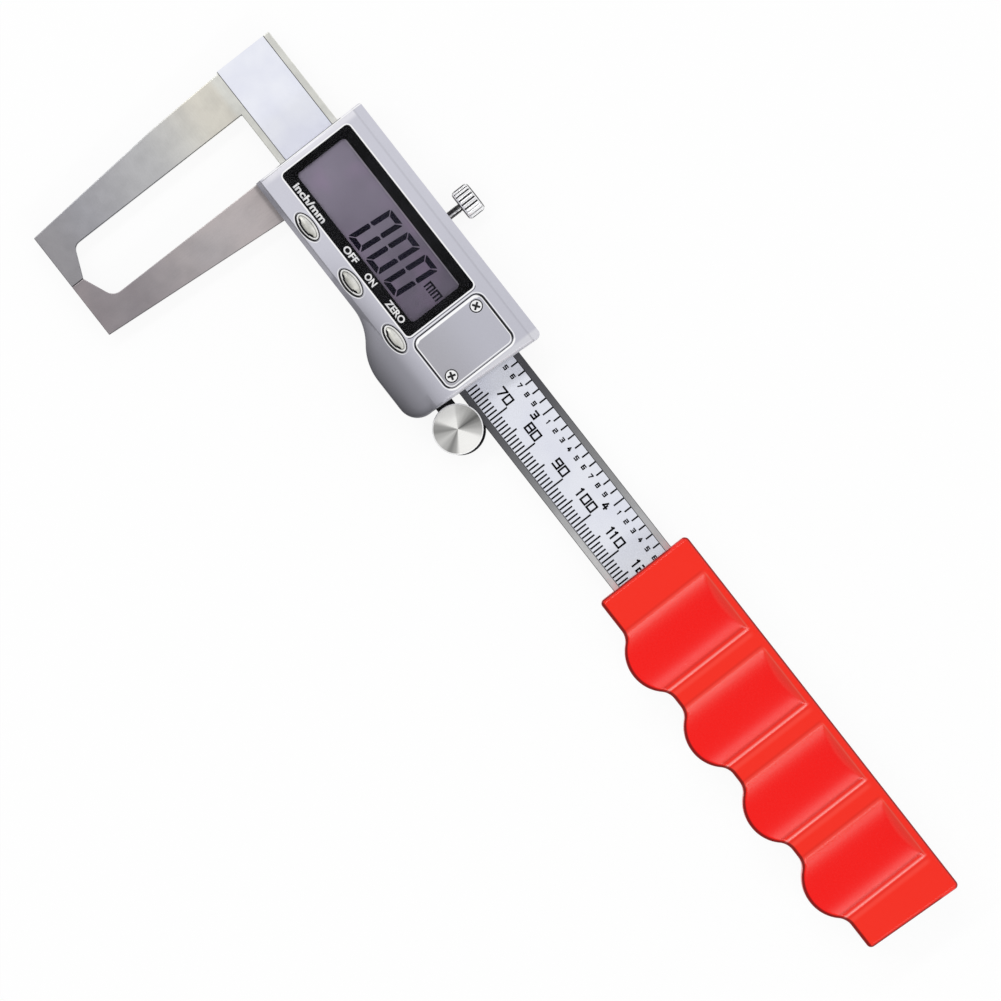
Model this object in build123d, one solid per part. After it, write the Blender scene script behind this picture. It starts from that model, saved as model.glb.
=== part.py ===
"""Digital caliper for brake discs, jaws closed, lying on its back with the display up."""
import math
import os

from build123d import *

# All sizes are in millimetres. X runs along the beam towards the handle and starts at the
# contact plane of the closed jaws. Y runs across the beam from its centreline, away from
# the jaws. Z runs up from the surface that the caliper lies on. The finished pieces are
# shifted at the end, so that the origin is below the middle of the whole caliper.

# Beam with its label
BEAM_WIDTH = 16.0
BEAM_THICKNESS = 3.5
BEAM_HEAD = 17.8
BEAM_IN_HANDLE = 78.0
LABEL_WIDTH = 12.8
LABEL_THICKNESS = 0.15
STRIP_THICKNESS = 0.8
LABEL_SUNK = 0.05
LABEL_IN_HANDLE = 6.0

# Jaws
JAW_DEPTH = 52.9
CONTACT_HEIGHT = 3.1
NOTCH_RISE = 3.0
CONTACT_GAP = 0.02
FIXED_JAW_GAP = 6.9
FIXED_JAW_SHOULDER = 0.5
FIXED_JAW_BEND_DEPTH = 17.6
FIXED_JAW_BEND_WIDTH = 9.7
FIXED_JAW_TIP_WIDTH = 13.7
FIXED_JAW_RADIUS = 2.0
MOVING_JAW_GAP = 7.2
MOVING_JAW_ROOT_WIDTH = 10.0
MOVING_JAW_TIP_WIDTH = 13.3
MOVING_JAW_RADIUS = 2.8

# Slider frame, its guides and the back plate
BACK_PLATE_THICKNESS = 1.0
BACK_PLATE_INSET = 0.1
BACK_PLATE_CORNER = 1.5
WEB_THICKNESS = 1.2
SLIDE_CLEARANCE = 0.1
READING_GAP = 0.2
FRAME_INSET = 0.5
GIB_THICKNESS = 1.5
GIB_END_MARGIN = 1.2
FASTENER_RADIUS = 1.0
COUNTERSINK_RADIUS = 1.6
COUNTERSINK_DEPTH = 0.6
PLATE_SCREW_INSET = 5.0
PLATE_SCREW_REACH = 4.0
GIB_SCREW_INSET = 14.0
GIB_SCREW_SUNK = 0.5

# Front housing
HOUSING_HEIGHT = 9.2
HOUSING_WALL = 1.5
FRONT_WALL = 1.6
UPPER_WIDTH = 6.2
LOWER_WIDTH = 6.9
UPPER_BEVEL_WIDTH = 2.1
UPPER_BEVEL_DROP = 1.6
LOWER_BEVEL_WIDTH = 1.2
LOWER_BEVEL_DROP = 2.5
END_MARGIN = 1.0
END_SLANT = 1.7
END_BEVEL = 0.6
UPPER_CORNER = 1.3
LOBE_DROP = 5.5
LOBE_RUN = 16.0
LOBE_FLAT = 12.7
LOBE_CORNER = 4.6
LOBE_ROLL = 4.0
LOBE_WALL = 2.2
LOBE_ROOF = 4.6
POST_RADIUS = 2.1

# Display
WINDOW_LENGTH = 45.45
WINDOW_WIDTH = 18.7
WINDOW_CORNER = 1.0
WINDOW_LEFT_MARGIN = 1.95
WINDOW_TOP_MARGIN = 4.9
WINDOW_SEAT_DEPTH = 1.0
WINDOW_SUNK = 0.1
MASK_THICKNESS = 0.1
FIT_CLEARANCE = 0.05
VIEW_SIDE_BORDER = 2.0
VIEW_TOP_BORDER = 2.5
VIEW_BOTTOM_BORDER = 2.75
VIEW_CORNER = 1.0
SEAT_OVERHANG = 0.4
GLASS_OVERLAP = 0.6
GLASS_THICKNESS = 1.4
CONNECTOR_WIDTH = 1.8
CONNECTOR_END_MARGIN = 3.0
BOARD_THICKNESS = 0.8
BOARD_CLEARANCE = 0.25

# Buttons
BUTTON_COUNT = 3
BUTTON_LENGTH = 6.9
BUTTON_WIDTH = 3.0
BUTTON_PITCH = 15.6
FIRST_BUTTON = 14.5
BUTTON_FROM_EDGE = 3.2
BUTTON_CLEARANCE = 0.2
BUTTON_RISE = 0.8
BUTTON_DOME = 0.55
BUTTON_TRAVEL = 0.4
BUTTON_FLANGE_MARGIN = 0.9
BUTTON_FLANGE_THICKNESS = 0.6
BUTTON_STEM_RADIUS = 1.0
SWITCH_LENGTH = 4.0
SWITCH_WIDTH = 3.0
SWITCH_HEIGHT = 1.3

# Battery and its cover
BATTERY_DIAMETER = 11.6
BATTERY_HEIGHT = 5.4
BATTERY_CAP_RADIUS = 4.8
BATTERY_CAP_HEIGHT = 0.5
BATTERY_CLEARANCE = 0.15
BATTERY_WELL_WALL = 0.9
COVER_MARGIN = 1.15
COVER_WIDTH = 18.85
COVER_GAP = 1.1
COVER_CORNER = 2.0
COVER_THICKNESS = 1.0
COVER_GROOVE = 0.12
COVER_SCREW_INSET = 2.55
COVER_SCREW_HEAD_RADIUS = 1.45
COVER_SCREW_HEAD_HEIGHT = 0.7
COVER_SCREW_RADIUS = 0.7
COVER_SCREW_LENGTH = 4.5
COVER_PAD_RADIUS = 3.0
CONTACT_STRIP_THICKNESS = 0.25
CONTACT_STRIP_WIDTH = 3.0

# Lock screw
LOCK_SCREW_FROM_LEFT = 31.6
LOCK_HEAD_DIAMETER = 7.3
LOCK_HEAD_HEIGHT = 4.45
LOCK_HEAD_STANDOFF = 3.25
LOCK_HEAD_ROUNDING = 0.7
LOCK_SCREW_CLEARANCE = 0.04
LOCK_RIDGES = 20
LOCK_GROOVE_RADIUS = 0.3

# Thumb roller and its bracket
HUB_RADIUS = 5.05
ROLLER_CLEARANCE = 0.05
ROLLER_FLANGE = 0.65
ROLLER_FACE_THICKNESS = 2.0
ROLLER_FACE_DISH = 0.35
ROLLER_RIM = 0.3
ROLLER_GAP = 0.75
ROLLER_LIFT = 0.2
ROLLER_PIN_RADIUS = 1.5
ROLLER_PIN_CLEARANCE = 0.03
BRACKET_THICKNESS = 0.9
BRACKET_WIDTH = 4.2
BRACKET_GUARD_RADIUS = 5.6
BRACKET_GUARD_SHIFT = 0.64
BRACKET_GUARD_ANGLE = 39.0

# Travel and handle
SLIDE_TRAVEL = 43.0
TRAVEL_END_GAP = 0.65
HANDLE_WIDTH = 24.1
HANDLE_THICKNESS = 14.0
HANDLE_CORNER = 1.2
HANDLE_EDGE = 1.1
HANDLE_END_SLANT = 1.2
FINGER_COUNT = 4
FINGER_PITCH = 21.07
FIRST_FINGER = 17.4
LAST_FINGER = 16.7
FINGER_RADIUS = 8.9
FINGER_DEPTH = 4.1
FINGER_BLEND = 4.0
SCOOP_WIDTH = 16.1
SCOOP_SHIFT = 0.5
SCOOP_DEPTH = 1.8
SCOOP_BLEND = 1.5
SCOOP_RIM = 1.5
SCOOP_END_SLOPE = 45.0
HANDLE_SCREW_RADIUS = 1.5
HANDLE_SCREW_HEAD_RADIUS = 2.75
HANDLE_SCREW_HEAD_HEIGHT = 1.5
HANDLE_SCREW_SUNK = 0.3
HANDLE_SCREW_FIRST = 20.0
HANDLE_SCREW_PITCH = 45.0

# Heights of the layers
FRAME_BACK = BACK_PLATE_THICKNESS
CHANNEL_FLOOR = FRAME_BACK + WEB_THICKNESS
BEAM_BACK = CHANNEL_FLOOR + SLIDE_CLEARANCE
BEAM_FRONT = BEAM_BACK + BEAM_THICKNESS
BEAM_MIDDLE = (BEAM_BACK + BEAM_FRONT) / 2
FRAME_TOP = BEAM_FRONT + READING_GAP
HOUSING_TOP = FRAME_TOP + HOUSING_HEIGHT
CAVITY_ROOF = HOUSING_TOP - FRONT_WALL
BOARD_TOP = FRAME_TOP + BOARD_THICKNESS
GLASS_BACK = CAVITY_ROOF - GLASS_THICKNESS
WINDOW_SEAT = HOUSING_TOP - WINDOW_SEAT_DEPTH
COVER_SEAT = HOUSING_TOP - COVER_THICKNESS
BATTERY_TOP = CAVITY_ROOF
BATTERY_BOTTOM = BATTERY_TOP - BATTERY_HEIGHT

# Places along and across the beam
BEAM_EDGE = BEAM_WIDTH / 2
HEAD_END = -BEAM_HEAD
JAW_TIP = -BEAM_EDGE - JAW_DEPTH
CONTACT_TOP = JAW_TIP + CONTACT_HEIGHT
NOTCH_SHOULDER = CONTACT_TOP + NOTCH_RISE
HOUSING_LEFT = MOVING_JAW_GAP
HOUSING_UPPER = BEAM_EDGE + UPPER_WIDTH
HOUSING_LOWER = -BEAM_EDGE - LOWER_WIDTH
LOBE_LOWER = HOUSING_LOWER - LOBE_DROP
WINDOW_LEFT = HOUSING_LEFT + WINDOW_LEFT_MARGIN
WINDOW_RIGHT = WINDOW_LEFT + WINDOW_LENGTH
WINDOW_UPPER = HOUSING_UPPER - WINDOW_TOP_MARGIN
WINDOW_LOWER = WINDOW_UPPER - WINDOW_WIDTH
COVER_LENGTH = BATTERY_DIAMETER + 2 * COVER_MARGIN
COVER_LEFT = WINDOW_RIGHT + COVER_GAP
COVER_RIGHT = COVER_LEFT + COVER_LENGTH
COVER_UPPER = WINDOW_UPPER
COVER_LOWER = COVER_UPPER - COVER_WIDTH
HOUSING_RIGHT = COVER_RIGHT + END_MARGIN
BATTERY_X = (COVER_LEFT + COVER_RIGHT) / 2
BATTERY_Y = (COVER_UPPER + COVER_LOWER) / 2
BUTTON_Y = HOUSING_LOWER + BUTTON_FROM_EDGE
BUTTON_XS = [HOUSING_LEFT + FIRST_BUTTON + i * BUTTON_PITCH for i in range(BUTTON_COUNT)]
CHANNEL_LOWER = -BEAM_EDGE - SLIDE_CLEARANCE
GIB_LOWER = BEAM_EDGE + SLIDE_CLEARANCE
GIB_UPPER = GIB_LOWER + GIB_THICKNESS
CHANNEL_UPPER = GIB_UPPER + SLIDE_CLEARANCE
FRAME_UPPER = HOUSING_UPPER - FRAME_INSET
FRAME_RIGHT = HOUSING_RIGHT - FRAME_INSET
UPPER_SCREW_Y = (CHANNEL_UPPER + FRAME_UPPER) / 2
LOWER_SCREW_Y = CHANNEL_LOWER - PLATE_SCREW_REACH
SCREW_XS = [HOUSING_LEFT + PLATE_SCREW_INSET, HOUSING_RIGHT - PLATE_SCREW_INSET]
PLATE_SCREWS = [(x, y) for x in SCREW_XS for y in (UPPER_SCREW_Y, LOWER_SCREW_Y)]
GIB_SCREW_XS = [HOUSING_LEFT + GIB_SCREW_INSET, HOUSING_RIGHT - GIB_SCREW_INSET]
LOCK_X = HOUSING_LEFT + LOCK_SCREW_FROM_LEFT
LOCK_HEAD_LOWER = HOUSING_UPPER + LOCK_HEAD_STANDOFF
LOCK_HEAD_UPPER = LOCK_HEAD_LOWER + LOCK_HEAD_HEIGHT
ROLLER_RADIUS = HUB_RADIUS + ROLLER_FLANGE
ROLLER_X = HOUSING_RIGHT + ROLLER_GAP + ROLLER_RADIUS
ROLLER_Y = -BEAM_EDGE - ROLLER_CLEARANCE - HUB_RADIUS
HANDLE_START = ROLLER_X + ROLLER_RADIUS + SLIDE_TRAVEL + TRAVEL_END_GAP
HANDLE_END = HANDLE_START + FIRST_FINGER + (FINGER_COUNT - 1) * FINGER_PITCH + LAST_FINGER
HANDLE_UPPER = HANDLE_WIDTH / 2
HANDLE_LOWER = -HANDLE_WIDTH / 2
FINGER_XS = [HANDLE_START + FIRST_FINGER + i * FINGER_PITCH for i in range(FINGER_COUNT)]
HANDLE_SCREW_XS = [HANDLE_START + HANDLE_SCREW_FIRST + i * HANDLE_SCREW_PITCH for i in range(2)]
BEAM_TAIL = HANDLE_START + BEAM_IN_HANDLE
LABEL_END = HANDLE_START + LABEL_IN_HANDLE

# The origin of the finished model, below the middle of its box
ORIGIN_X = (HEAD_END + HANDLE_END + HANDLE_END_SLANT / 2) / 2
ORIGIN_Y = (JAW_TIP + LOCK_HEAD_UPPER) / 2


def slab(x_range, y_range, z_range):
    """Upright block between two places along each axis."""
    low, high = zip(x_range, y_range, z_range)
    size = [b - a for a, b in zip(low, high)]
    return Pos(*low) * Box(*size, align=(Align.MIN, Align.MIN, Align.MIN))


def post(x, y, radius, z_range):
    """Upright cylinder."""
    height = z_range[1] - z_range[0]
    base = (Align.CENTER, Align.CENTER, Align.MIN)
    return Pos(x, y, z_range[0]) * Cylinder(radius, height, align=base)


def rod(x, z, radius, y_range):
    """Cylinder along Y, through the height z."""
    length = y_range[1] - y_range[0]
    base = (Align.CENTER, Align.CENTER, Align.MIN)
    return Pos(x, y_range[0], z) * Rot(-90, 0, 0) * Cylinder(radius, length, align=base)


def plan(corners):
    """Flat outline from corners given as x, y and the radius of the corner."""
    points = [(x, y) for x, y, radius in corners]
    radii = [radius for x, y, radius in corners]
    if not any(radii):
        return make_face(Polyline(*points, close=True))
    return make_face(FilletPolyline(*points, radius=radii, close=True))


def raise_plan(face, z_range):
    """Straight solid on a flat outline, from one height to another."""
    return Pos(0, 0, z_range[0]) * extrude(face, z_range[1] - z_range[0])


def rounded_plan(x_range, y_range, radius):
    """Rectangle with round corners."""
    size = (x_range[1] - x_range[0], y_range[1] - y_range[0])
    centre = ((x_range[0] + x_range[1]) / 2, (y_range[0] + y_range[1]) / 2)
    return Pos(*centre) * RectangleRounded(*size, radius)


def top_edges(solid, height, keep=lambda edge: True):
    """Edges of a solid that lie at one height."""
    flat = solid.edges().filter_by_position(Axis.Z, height, height)
    return [edge for edge in flat if keep(edge)]


def countersunk_screw(x, y, z_low, head, shank_radius, tip):
    """Screw that points up, with its countersunk head at the bottom."""
    head_radius, head_height = head
    base = (Align.CENTER, Align.CENTER, Align.MIN)
    cone = Pos(x, y, z_low) * Cone(head_radius, shank_radius, head_height, align=base)
    return cone + post(x, y, shank_radius, (z_low + head_height, tip))


def countersink(x, y, z_low, head, shank_radius, tip):
    """Space for a countersunk screw that is set below the surface."""
    head_radius, head_height = head
    screw = countersunk_screw(x, y, z_low, head, shank_radius, tip)
    return screw + post(x, y, head_radius, (0, z_low)) if z_low > 0 else screw


# Beam

def main_beam():
    """Beam and fixed jaw, cut from one plate, with the sunk track for the scale."""
    bend = -BEAM_EDGE - FIXED_JAW_BEND_DEPTH
    shoulder_x = HEAD_END + FIXED_JAW_SHOULDER
    shoulder_y = -LABEL_WIDTH / 2
    outline = plan([
        (HEAD_END, BEAM_EDGE, 0),
        (BEAM_TAIL, BEAM_EDGE, 0),
        (BEAM_TAIL, -BEAM_EDGE, 0),
        (-FIXED_JAW_GAP, -BEAM_EDGE, 0),
        (-FIXED_JAW_GAP, NOTCH_SHOULDER, FIXED_JAW_RADIUS),
        (0, CONTACT_TOP, 0),
        (0, JAW_TIP, 0),
        (-FIXED_JAW_TIP_WIDTH, JAW_TIP, 0),
        (-FIXED_JAW_GAP - FIXED_JAW_BEND_WIDTH, bend, 0),
        (shoulder_x, shoulder_y - FIXED_JAW_SHOULDER, 0),
        (HEAD_END, shoulder_y, 0),
    ])
    beam = raise_plan(outline, (BEAM_BACK, BEAM_FRONT))
    track_floor = BEAM_FRONT - LABEL_SUNK - LABEL_THICKNESS - STRIP_THICKNESS
    half = LABEL_WIDTH / 2
    beam -= slab((HEAD_END, LABEL_END), (-half, half), (track_floor, BEAM_FRONT))
    for x in HANDLE_SCREW_XS:
        beam -= post(x, 0, HANDLE_SCREW_RADIUS, (BEAM_BACK, BEAM_FRONT))
    return beam


def scale_track(z_high, thickness):
    """Strip in the sunk track of the beam, with its top at one height."""
    half = LABEL_WIDTH / 2
    return slab((HEAD_END, LABEL_END), (-half, half), (z_high - thickness, z_high))


def scale_label():
    """Printed label that carries the two scales."""
    return scale_track(BEAM_FRONT - LABEL_SUNK, LABEL_THICKNESS)


def stator_strip():
    """Capacitive strip below the label, which the circuit board reads."""
    return scale_track(BEAM_FRONT - LABEL_SUNK - LABEL_THICKNESS, STRIP_THICKNESS)


# Handle

def handle_plan():
    """Outline of the handle: straight back, four finger bumps blended into the lands."""
    lean = HANDLE_END_SLANT / 2
    outline = plan([
        (HANDLE_START, HANDLE_LOWER, HANDLE_CORNER),
        (HANDLE_END - lean, HANDLE_LOWER, HANDLE_CORNER),
        (HANDLE_END + lean, HANDLE_UPPER, HANDLE_CORNER),
        (HANDLE_START, HANDLE_UPPER, HANDLE_CORNER),
    ])
    centre_y = HANDLE_LOWER - FINGER_DEPTH + FINGER_RADIUS
    for x in FINGER_XS:
        outline += Pos(x, centre_y) * Circle(FINGER_RADIUS)
    half_chord = math.sqrt(FINGER_RADIUS ** 2 - (HANDLE_LOWER - centre_y) ** 2)
    valleys = []
    for x in FINGER_XS:
        for side in (-1, 1):
            target = Vector(x + side * half_chord, HANDLE_LOWER, 0)
            valleys.append(outline.vertices().sort_by_distance(target)[0])
    return fillet(valleys, FINGER_BLEND)


def finger_scoops():
    """Shallow dishes across the front of the handle, open on the side of the finger bumps."""
    half = SCOOP_WIDTH / 2
    radius = (half ** 2 + SCOOP_DEPTH ** 2) / (2 * SCOOP_DEPTH)
    length = HANDLE_END - HANDLE_START
    middle = (HANDLE_START + HANDLE_END) / 2
    side_view = Pos(middle, HANDLE_THICKNESS / 2) * Rectangle(length, HANDLE_THICKNESS)
    block = side_view
    scoop_xs = [x - SCOOP_SHIFT for x in FINGER_XS]
    for x in scoop_xs:
        side_view -= Pos(x, HANDLE_THICKNESS - SCOOP_DEPTH + radius) * Circle(radius)
    rims = []
    for x in scoop_xs:
        for side in (-1, 1):
            target = Vector(x + side * half, HANDLE_THICKNESS, 0)
            rims.append(side_view.vertices().sort_by_distance(target)[0])
    side_view = fillet(rims, SCOOP_BLEND)
    reach = HANDLE_WIDTH
    hollows = extrude(Plane.XZ * (block - side_view), reach, both=True)
    rim_y = HANDLE_UPPER - SCOOP_RIM
    run = HANDLE_THICKNESS / math.tan(math.radians(SCOOP_END_SLOPE))
    foot, top = (rim_y - run, 0), (rim_y, HANDLE_THICKNESS)
    end_view = Polygon((-reach, 0), foot, top, (-reach, HANDLE_THICKNESS), align=None)
    room = Pos(HANDLE_START, 0, 0) * extrude(Plane.YZ * end_view, length)
    return hollows & room


def grip_rim(grip):
    """Edges round the front of the handle, also where the scoops run out of its side."""
    y_range = (HANDLE_LOWER + SCOOP_RIM / 2, HANDLE_UPPER - SCOOP_RIM / 2)
    x_range = (HANDLE_START + HANDLE_CORNER, HANDLE_END - HANDLE_END_SLANT - HANDLE_CORNER)
    rim = []
    for edge in grip.edges():
        middle = edge @ 0.5
        in_front = middle.Z > HANDLE_THICKNESS - 2 * SCOOP_DEPTH
        inside = y_range[0] < middle.Y < y_range[1] and x_range[0] < middle.X < x_range[1]
        if in_front and not inside:
            rim.append(edge)
    return rim


def handle():
    """Moulded grip over the tail of the beam."""
    grip = raise_plan(handle_plan(), (0, HANDLE_THICKNESS))
    grip -= finger_scoops()
    grip = fillet(grip_rim(grip) + top_edges(grip, 0), HANDLE_EDGE)
    half = BEAM_EDGE + FIT_CLEARANCE
    slot_z = (BEAM_BACK - FIT_CLEARANCE, BEAM_FRONT + FIT_CLEARANCE)
    grip -= slab((HANDLE_START, BEAM_TAIL + FIT_CLEARANCE), (-half, half), slot_z)
    head = (HANDLE_SCREW_HEAD_RADIUS, HANDLE_SCREW_HEAD_HEIGHT)
    for x in HANDLE_SCREW_XS:
        grip -= countersink(x, 0, HANDLE_SCREW_SUNK, head, HANDLE_SCREW_RADIUS, slot_z[0])
    return grip


def handle_screws():
    """Two screws from the back through the handle into the beam."""
    head = (HANDLE_SCREW_HEAD_RADIUS, HANDLE_SCREW_HEAD_HEIGHT)
    tip = BEAM_FRONT - HANDLE_SCREW_SUNK
    return [
        countersunk_screw(x, 0, HANDLE_SCREW_SUNK, head, HANDLE_SCREW_RADIUS, tip)
        for x in HANDLE_SCREW_XS
    ]


# Slider frame and guides

def lobe_plan():
    """Outline of the thumb lobe: an S curve down to a flat foot, and the round corner."""
    turn = 2 * math.degrees(math.atan2(LOBE_DROP, LOBE_RUN))
    radius = (LOBE_RUN ** 2 + LOBE_DROP ** 2) / (4 * LOBE_DROP)
    right = HOUSING_RIGHT
    start = (right - LOBE_FLAT - LOBE_RUN, HOUSING_LOWER)
    down = JernArc(start, (1, 0), radius, -turn)
    level = JernArc(down @ 1, down % 1, radius, turn)
    corner = JernArc((right - LOBE_CORNER, LOBE_LOWER), (1, 0), LOBE_CORNER, 90)
    foot = Line(level @ 1, corner @ 0)
    rest = Polyline(corner @ 1, (right, 0), (start[0], 0), start)
    return make_face(Curve() + [down, level, foot, corner, rest])


def body_plan():
    """Outline of the straight part of the housing, with its slanted right end."""
    return plan([
        (HOUSING_LEFT, HOUSING_LOWER, 0),
        (HOUSING_RIGHT, HOUSING_LOWER, 0),
        (HOUSING_RIGHT + END_SLANT, HOUSING_UPPER, UPPER_CORNER),
        (HOUSING_LEFT, HOUSING_UPPER, FRAME_INSET),
    ])


def slider_plan(inset):
    """Outline of housing and lobe together, drawn in by an inset."""
    return offset(body_plan() + lobe_plan(), -inset, kind=Kind.INTERSECTION)


def moving_jaw():
    """Jaw below the frame, in the plane of the beam."""
    outline = plan([
        (MOVING_JAW_GAP, -BEAM_EDGE - SLIDE_CLEARANCE, 0),
        (MOVING_JAW_GAP, NOTCH_SHOULDER, MOVING_JAW_RADIUS),
        (CONTACT_GAP, CONTACT_TOP, 0),
        (CONTACT_GAP, JAW_TIP, 0),
        (MOVING_JAW_TIP_WIDTH, JAW_TIP, 0),
        (MOVING_JAW_GAP + MOVING_JAW_ROOT_WIDTH, HOUSING_LOWER, 0),
        (MOVING_JAW_GAP + MOVING_JAW_ROOT_WIDTH, -BEAM_EDGE - SLIDE_CLEARANCE, 0),
    ])
    return raise_plan(outline, (BEAM_BACK, BEAM_FRONT))


def slider_frame():
    """Channel that runs on the beam, one piece with the moving jaw."""
    frame = raise_plan(slider_plan(FRAME_INSET), (FRAME_BACK, FRAME_TOP))
    flush_left = (HOUSING_LEFT, HOUSING_LEFT + 2 * FRAME_INSET)
    side_y = (HOUSING_LOWER + FRAME_INSET, HOUSING_UPPER - FRAME_INSET)
    frame += slab(flush_left, side_y, (FRAME_BACK, FRAME_TOP))
    frame += moving_jaw()
    whole_x = (HOUSING_LEFT, HOUSING_RIGHT + END_SLANT)
    frame -= slab(whole_x, (CHANNEL_LOWER, CHANNEL_UPPER), (CHANNEL_FLOOR, FRAME_TOP))
    for x, y in PLATE_SCREWS:
        frame -= post(x, y, FASTENER_RADIUS, (FRAME_BACK, FRAME_TOP))
    for x in GIB_SCREW_XS:
        frame -= rod(x, BEAM_MIDDLE, FASTENER_RADIUS, (CHANNEL_UPPER, FRAME_UPPER))
    lock_hole = FASTENER_RADIUS + LOCK_SCREW_CLEARANCE
    frame -= rod(LOCK_X, BEAM_MIDDLE, lock_hole, (CHANNEL_UPPER, FRAME_UPPER))
    seat = raise_plan(bracket_plan(FIT_CLEARANCE), (FRAME_BACK, FRAME_BACK + BRACKET_THICKNESS))
    return frame - seat


def gib_strip():
    """Flat strip between the beam and the upper rail, which takes up the play."""
    x_range = (HOUSING_LEFT + GIB_END_MARGIN, FRAME_RIGHT - GIB_END_MARGIN)
    return slab(x_range, (GIB_LOWER, GIB_UPPER), (BEAM_BACK, BEAM_FRONT))


def gib_screws():
    """Two set screws in the upper rail, against the gib."""
    y_range = (GIB_UPPER, FRAME_UPPER - GIB_SCREW_SUNK)
    return [rod(x, BEAM_MIDDLE, FASTENER_RADIUS, y_range) for x in GIB_SCREW_XS]


def back_plate():
    """Thin plate over the back of the frame."""
    inset = FRAME_INSET + BACK_PLATE_INSET
    x_range = (HOUSING_LEFT + inset, HOUSING_RIGHT - inset)
    y_range = (HOUSING_LOWER + inset, HOUSING_UPPER - inset)
    sheet = rounded_plan(x_range, y_range, BACK_PLATE_CORNER)
    sheet = raise_plan(sheet, (0, BACK_PLATE_THICKNESS))
    head = (COUNTERSINK_RADIUS, COUNTERSINK_DEPTH)
    for x, y in PLATE_SCREWS:
        sheet -= countersink(x, y, 0, head, FASTENER_RADIUS, BACK_PLATE_THICKNESS)
    return sheet


def back_plate_screws():
    """Four screws through back plate and frame into the posts of the housing."""
    head = (COUNTERSINK_RADIUS, COUNTERSINK_DEPTH)
    tip = FRAME_TOP + PLATE_SCREW_REACH
    return [countersunk_screw(x, y, 0, head, FASTENER_RADIUS, tip) for x, y in PLATE_SCREWS]


# Front housing

def housing_shell():
    """Outer form: bevelled block with a rolled thumb lobe."""
    section = Plane.YZ * make_face(Polyline(
        (HOUSING_LOWER, FRAME_TOP),
        (HOUSING_LOWER, HOUSING_TOP - LOWER_BEVEL_DROP),
        (HOUSING_LOWER + LOWER_BEVEL_WIDTH, HOUSING_TOP),
        (HOUSING_UPPER - UPPER_BEVEL_WIDTH, HOUSING_TOP),
        (HOUSING_UPPER, HOUSING_TOP - UPPER_BEVEL_DROP),
        (HOUSING_UPPER, FRAME_TOP),
        close=True,
    ))
    bar = extrude(section, HOUSING_RIGHT + END_SLANT)
    block = bar & raise_plan(body_plan(), (FRAME_TOP, HOUSING_TOP))
    ends = [
        edge
        for edge in top_edges(block, HOUSING_TOP)
        if edge.center().X > COVER_RIGHT or edge.center().X < WINDOW_LEFT
    ]
    block = chamfer(ends, END_BEVEL)
    lobe = raise_plan(lobe_plan(), (FRAME_TOP, HOUSING_TOP))
    rolled = top_edges(lobe, HOUSING_TOP, lambda edge: edge.center().Y < HOUSING_LOWER + FRAME_INSET)
    return block + fillet(rolled, LOBE_ROLL)


def housing_hollow():
    """Space inside the housing for display, board and battery, and the lobe's own hollow."""
    room = raise_plan(offset(body_plan(), -HOUSING_WALL), (FRAME_TOP, CAVITY_ROOF))
    inner_lobe = offset(lobe_plan(), -LOBE_WALL)
    return room + raise_plan(inner_lobe, (FRAME_TOP, HOUSING_TOP - LOBE_ROOF))


def housing_posts():
    """Screw posts and the well of the battery, hanging from the front wall."""
    z_range = (FRAME_TOP, CAVITY_ROOF)
    posts = Part() + [post(x, y, POST_RADIUS, z_range) for x, y in PLATE_SCREWS]
    well_radius = BATTERY_DIAMETER / 2 + BATTERY_CLEARANCE
    well_z = (BATTERY_BOTTOM, CAVITY_ROOF)
    well = post(BATTERY_X, BATTERY_Y, well_radius + BATTERY_WELL_WALL, well_z)
    for x, y in cover_screw_places():
        well += post(x, y, COVER_SCREW_RADIUS + BATTERY_WELL_WALL, well_z)
    well -= post(BATTERY_X, BATTERY_Y, well_radius, well_z)
    slot_half = CONTACT_STRIP_WIDTH / 2 + BATTERY_CLEARANCE
    slot_y = (BATTERY_Y - well_radius - 2 * BATTERY_WELL_WALL, BATTERY_Y)
    well -= slab((BATTERY_X - slot_half, BATTERY_X + slot_half), slot_y, well_z)
    return posts + well


def window_plan(inset):
    """Outline of the display window, drawn in by an inset."""
    x_range = (WINDOW_LEFT + inset, WINDOW_RIGHT - inset)
    y_range = (WINDOW_LOWER + inset, WINDOW_UPPER - inset)
    return rounded_plan(x_range, y_range, WINDOW_CORNER)


def view_plan(grow):
    """Outline of the part of the display that shows, grown by a margin."""
    x_range = (WINDOW_LEFT + VIEW_SIDE_BORDER - grow, WINDOW_RIGHT - VIEW_SIDE_BORDER + grow)
    y_range = (WINDOW_LOWER + VIEW_BOTTOM_BORDER - grow, WINDOW_UPPER - VIEW_TOP_BORDER + grow)
    return rounded_plan(x_range, y_range, VIEW_CORNER)


def cover_plan(inset):
    """Outline of the battery cover, drawn in by an inset."""
    x_range = (COVER_LEFT + inset, COVER_RIGHT - inset)
    y_range = (COVER_LOWER + inset, COVER_UPPER - inset)
    return rounded_plan(x_range, y_range, COVER_CORNER)


def cover_screw_places():
    """Centres of the two screws, at opposite corners of the battery cover."""
    inset = COVER_SCREW_INSET
    return [(COVER_LEFT + inset, COVER_UPPER - inset), (COVER_RIGHT - inset, COVER_LOWER + inset)]


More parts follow.
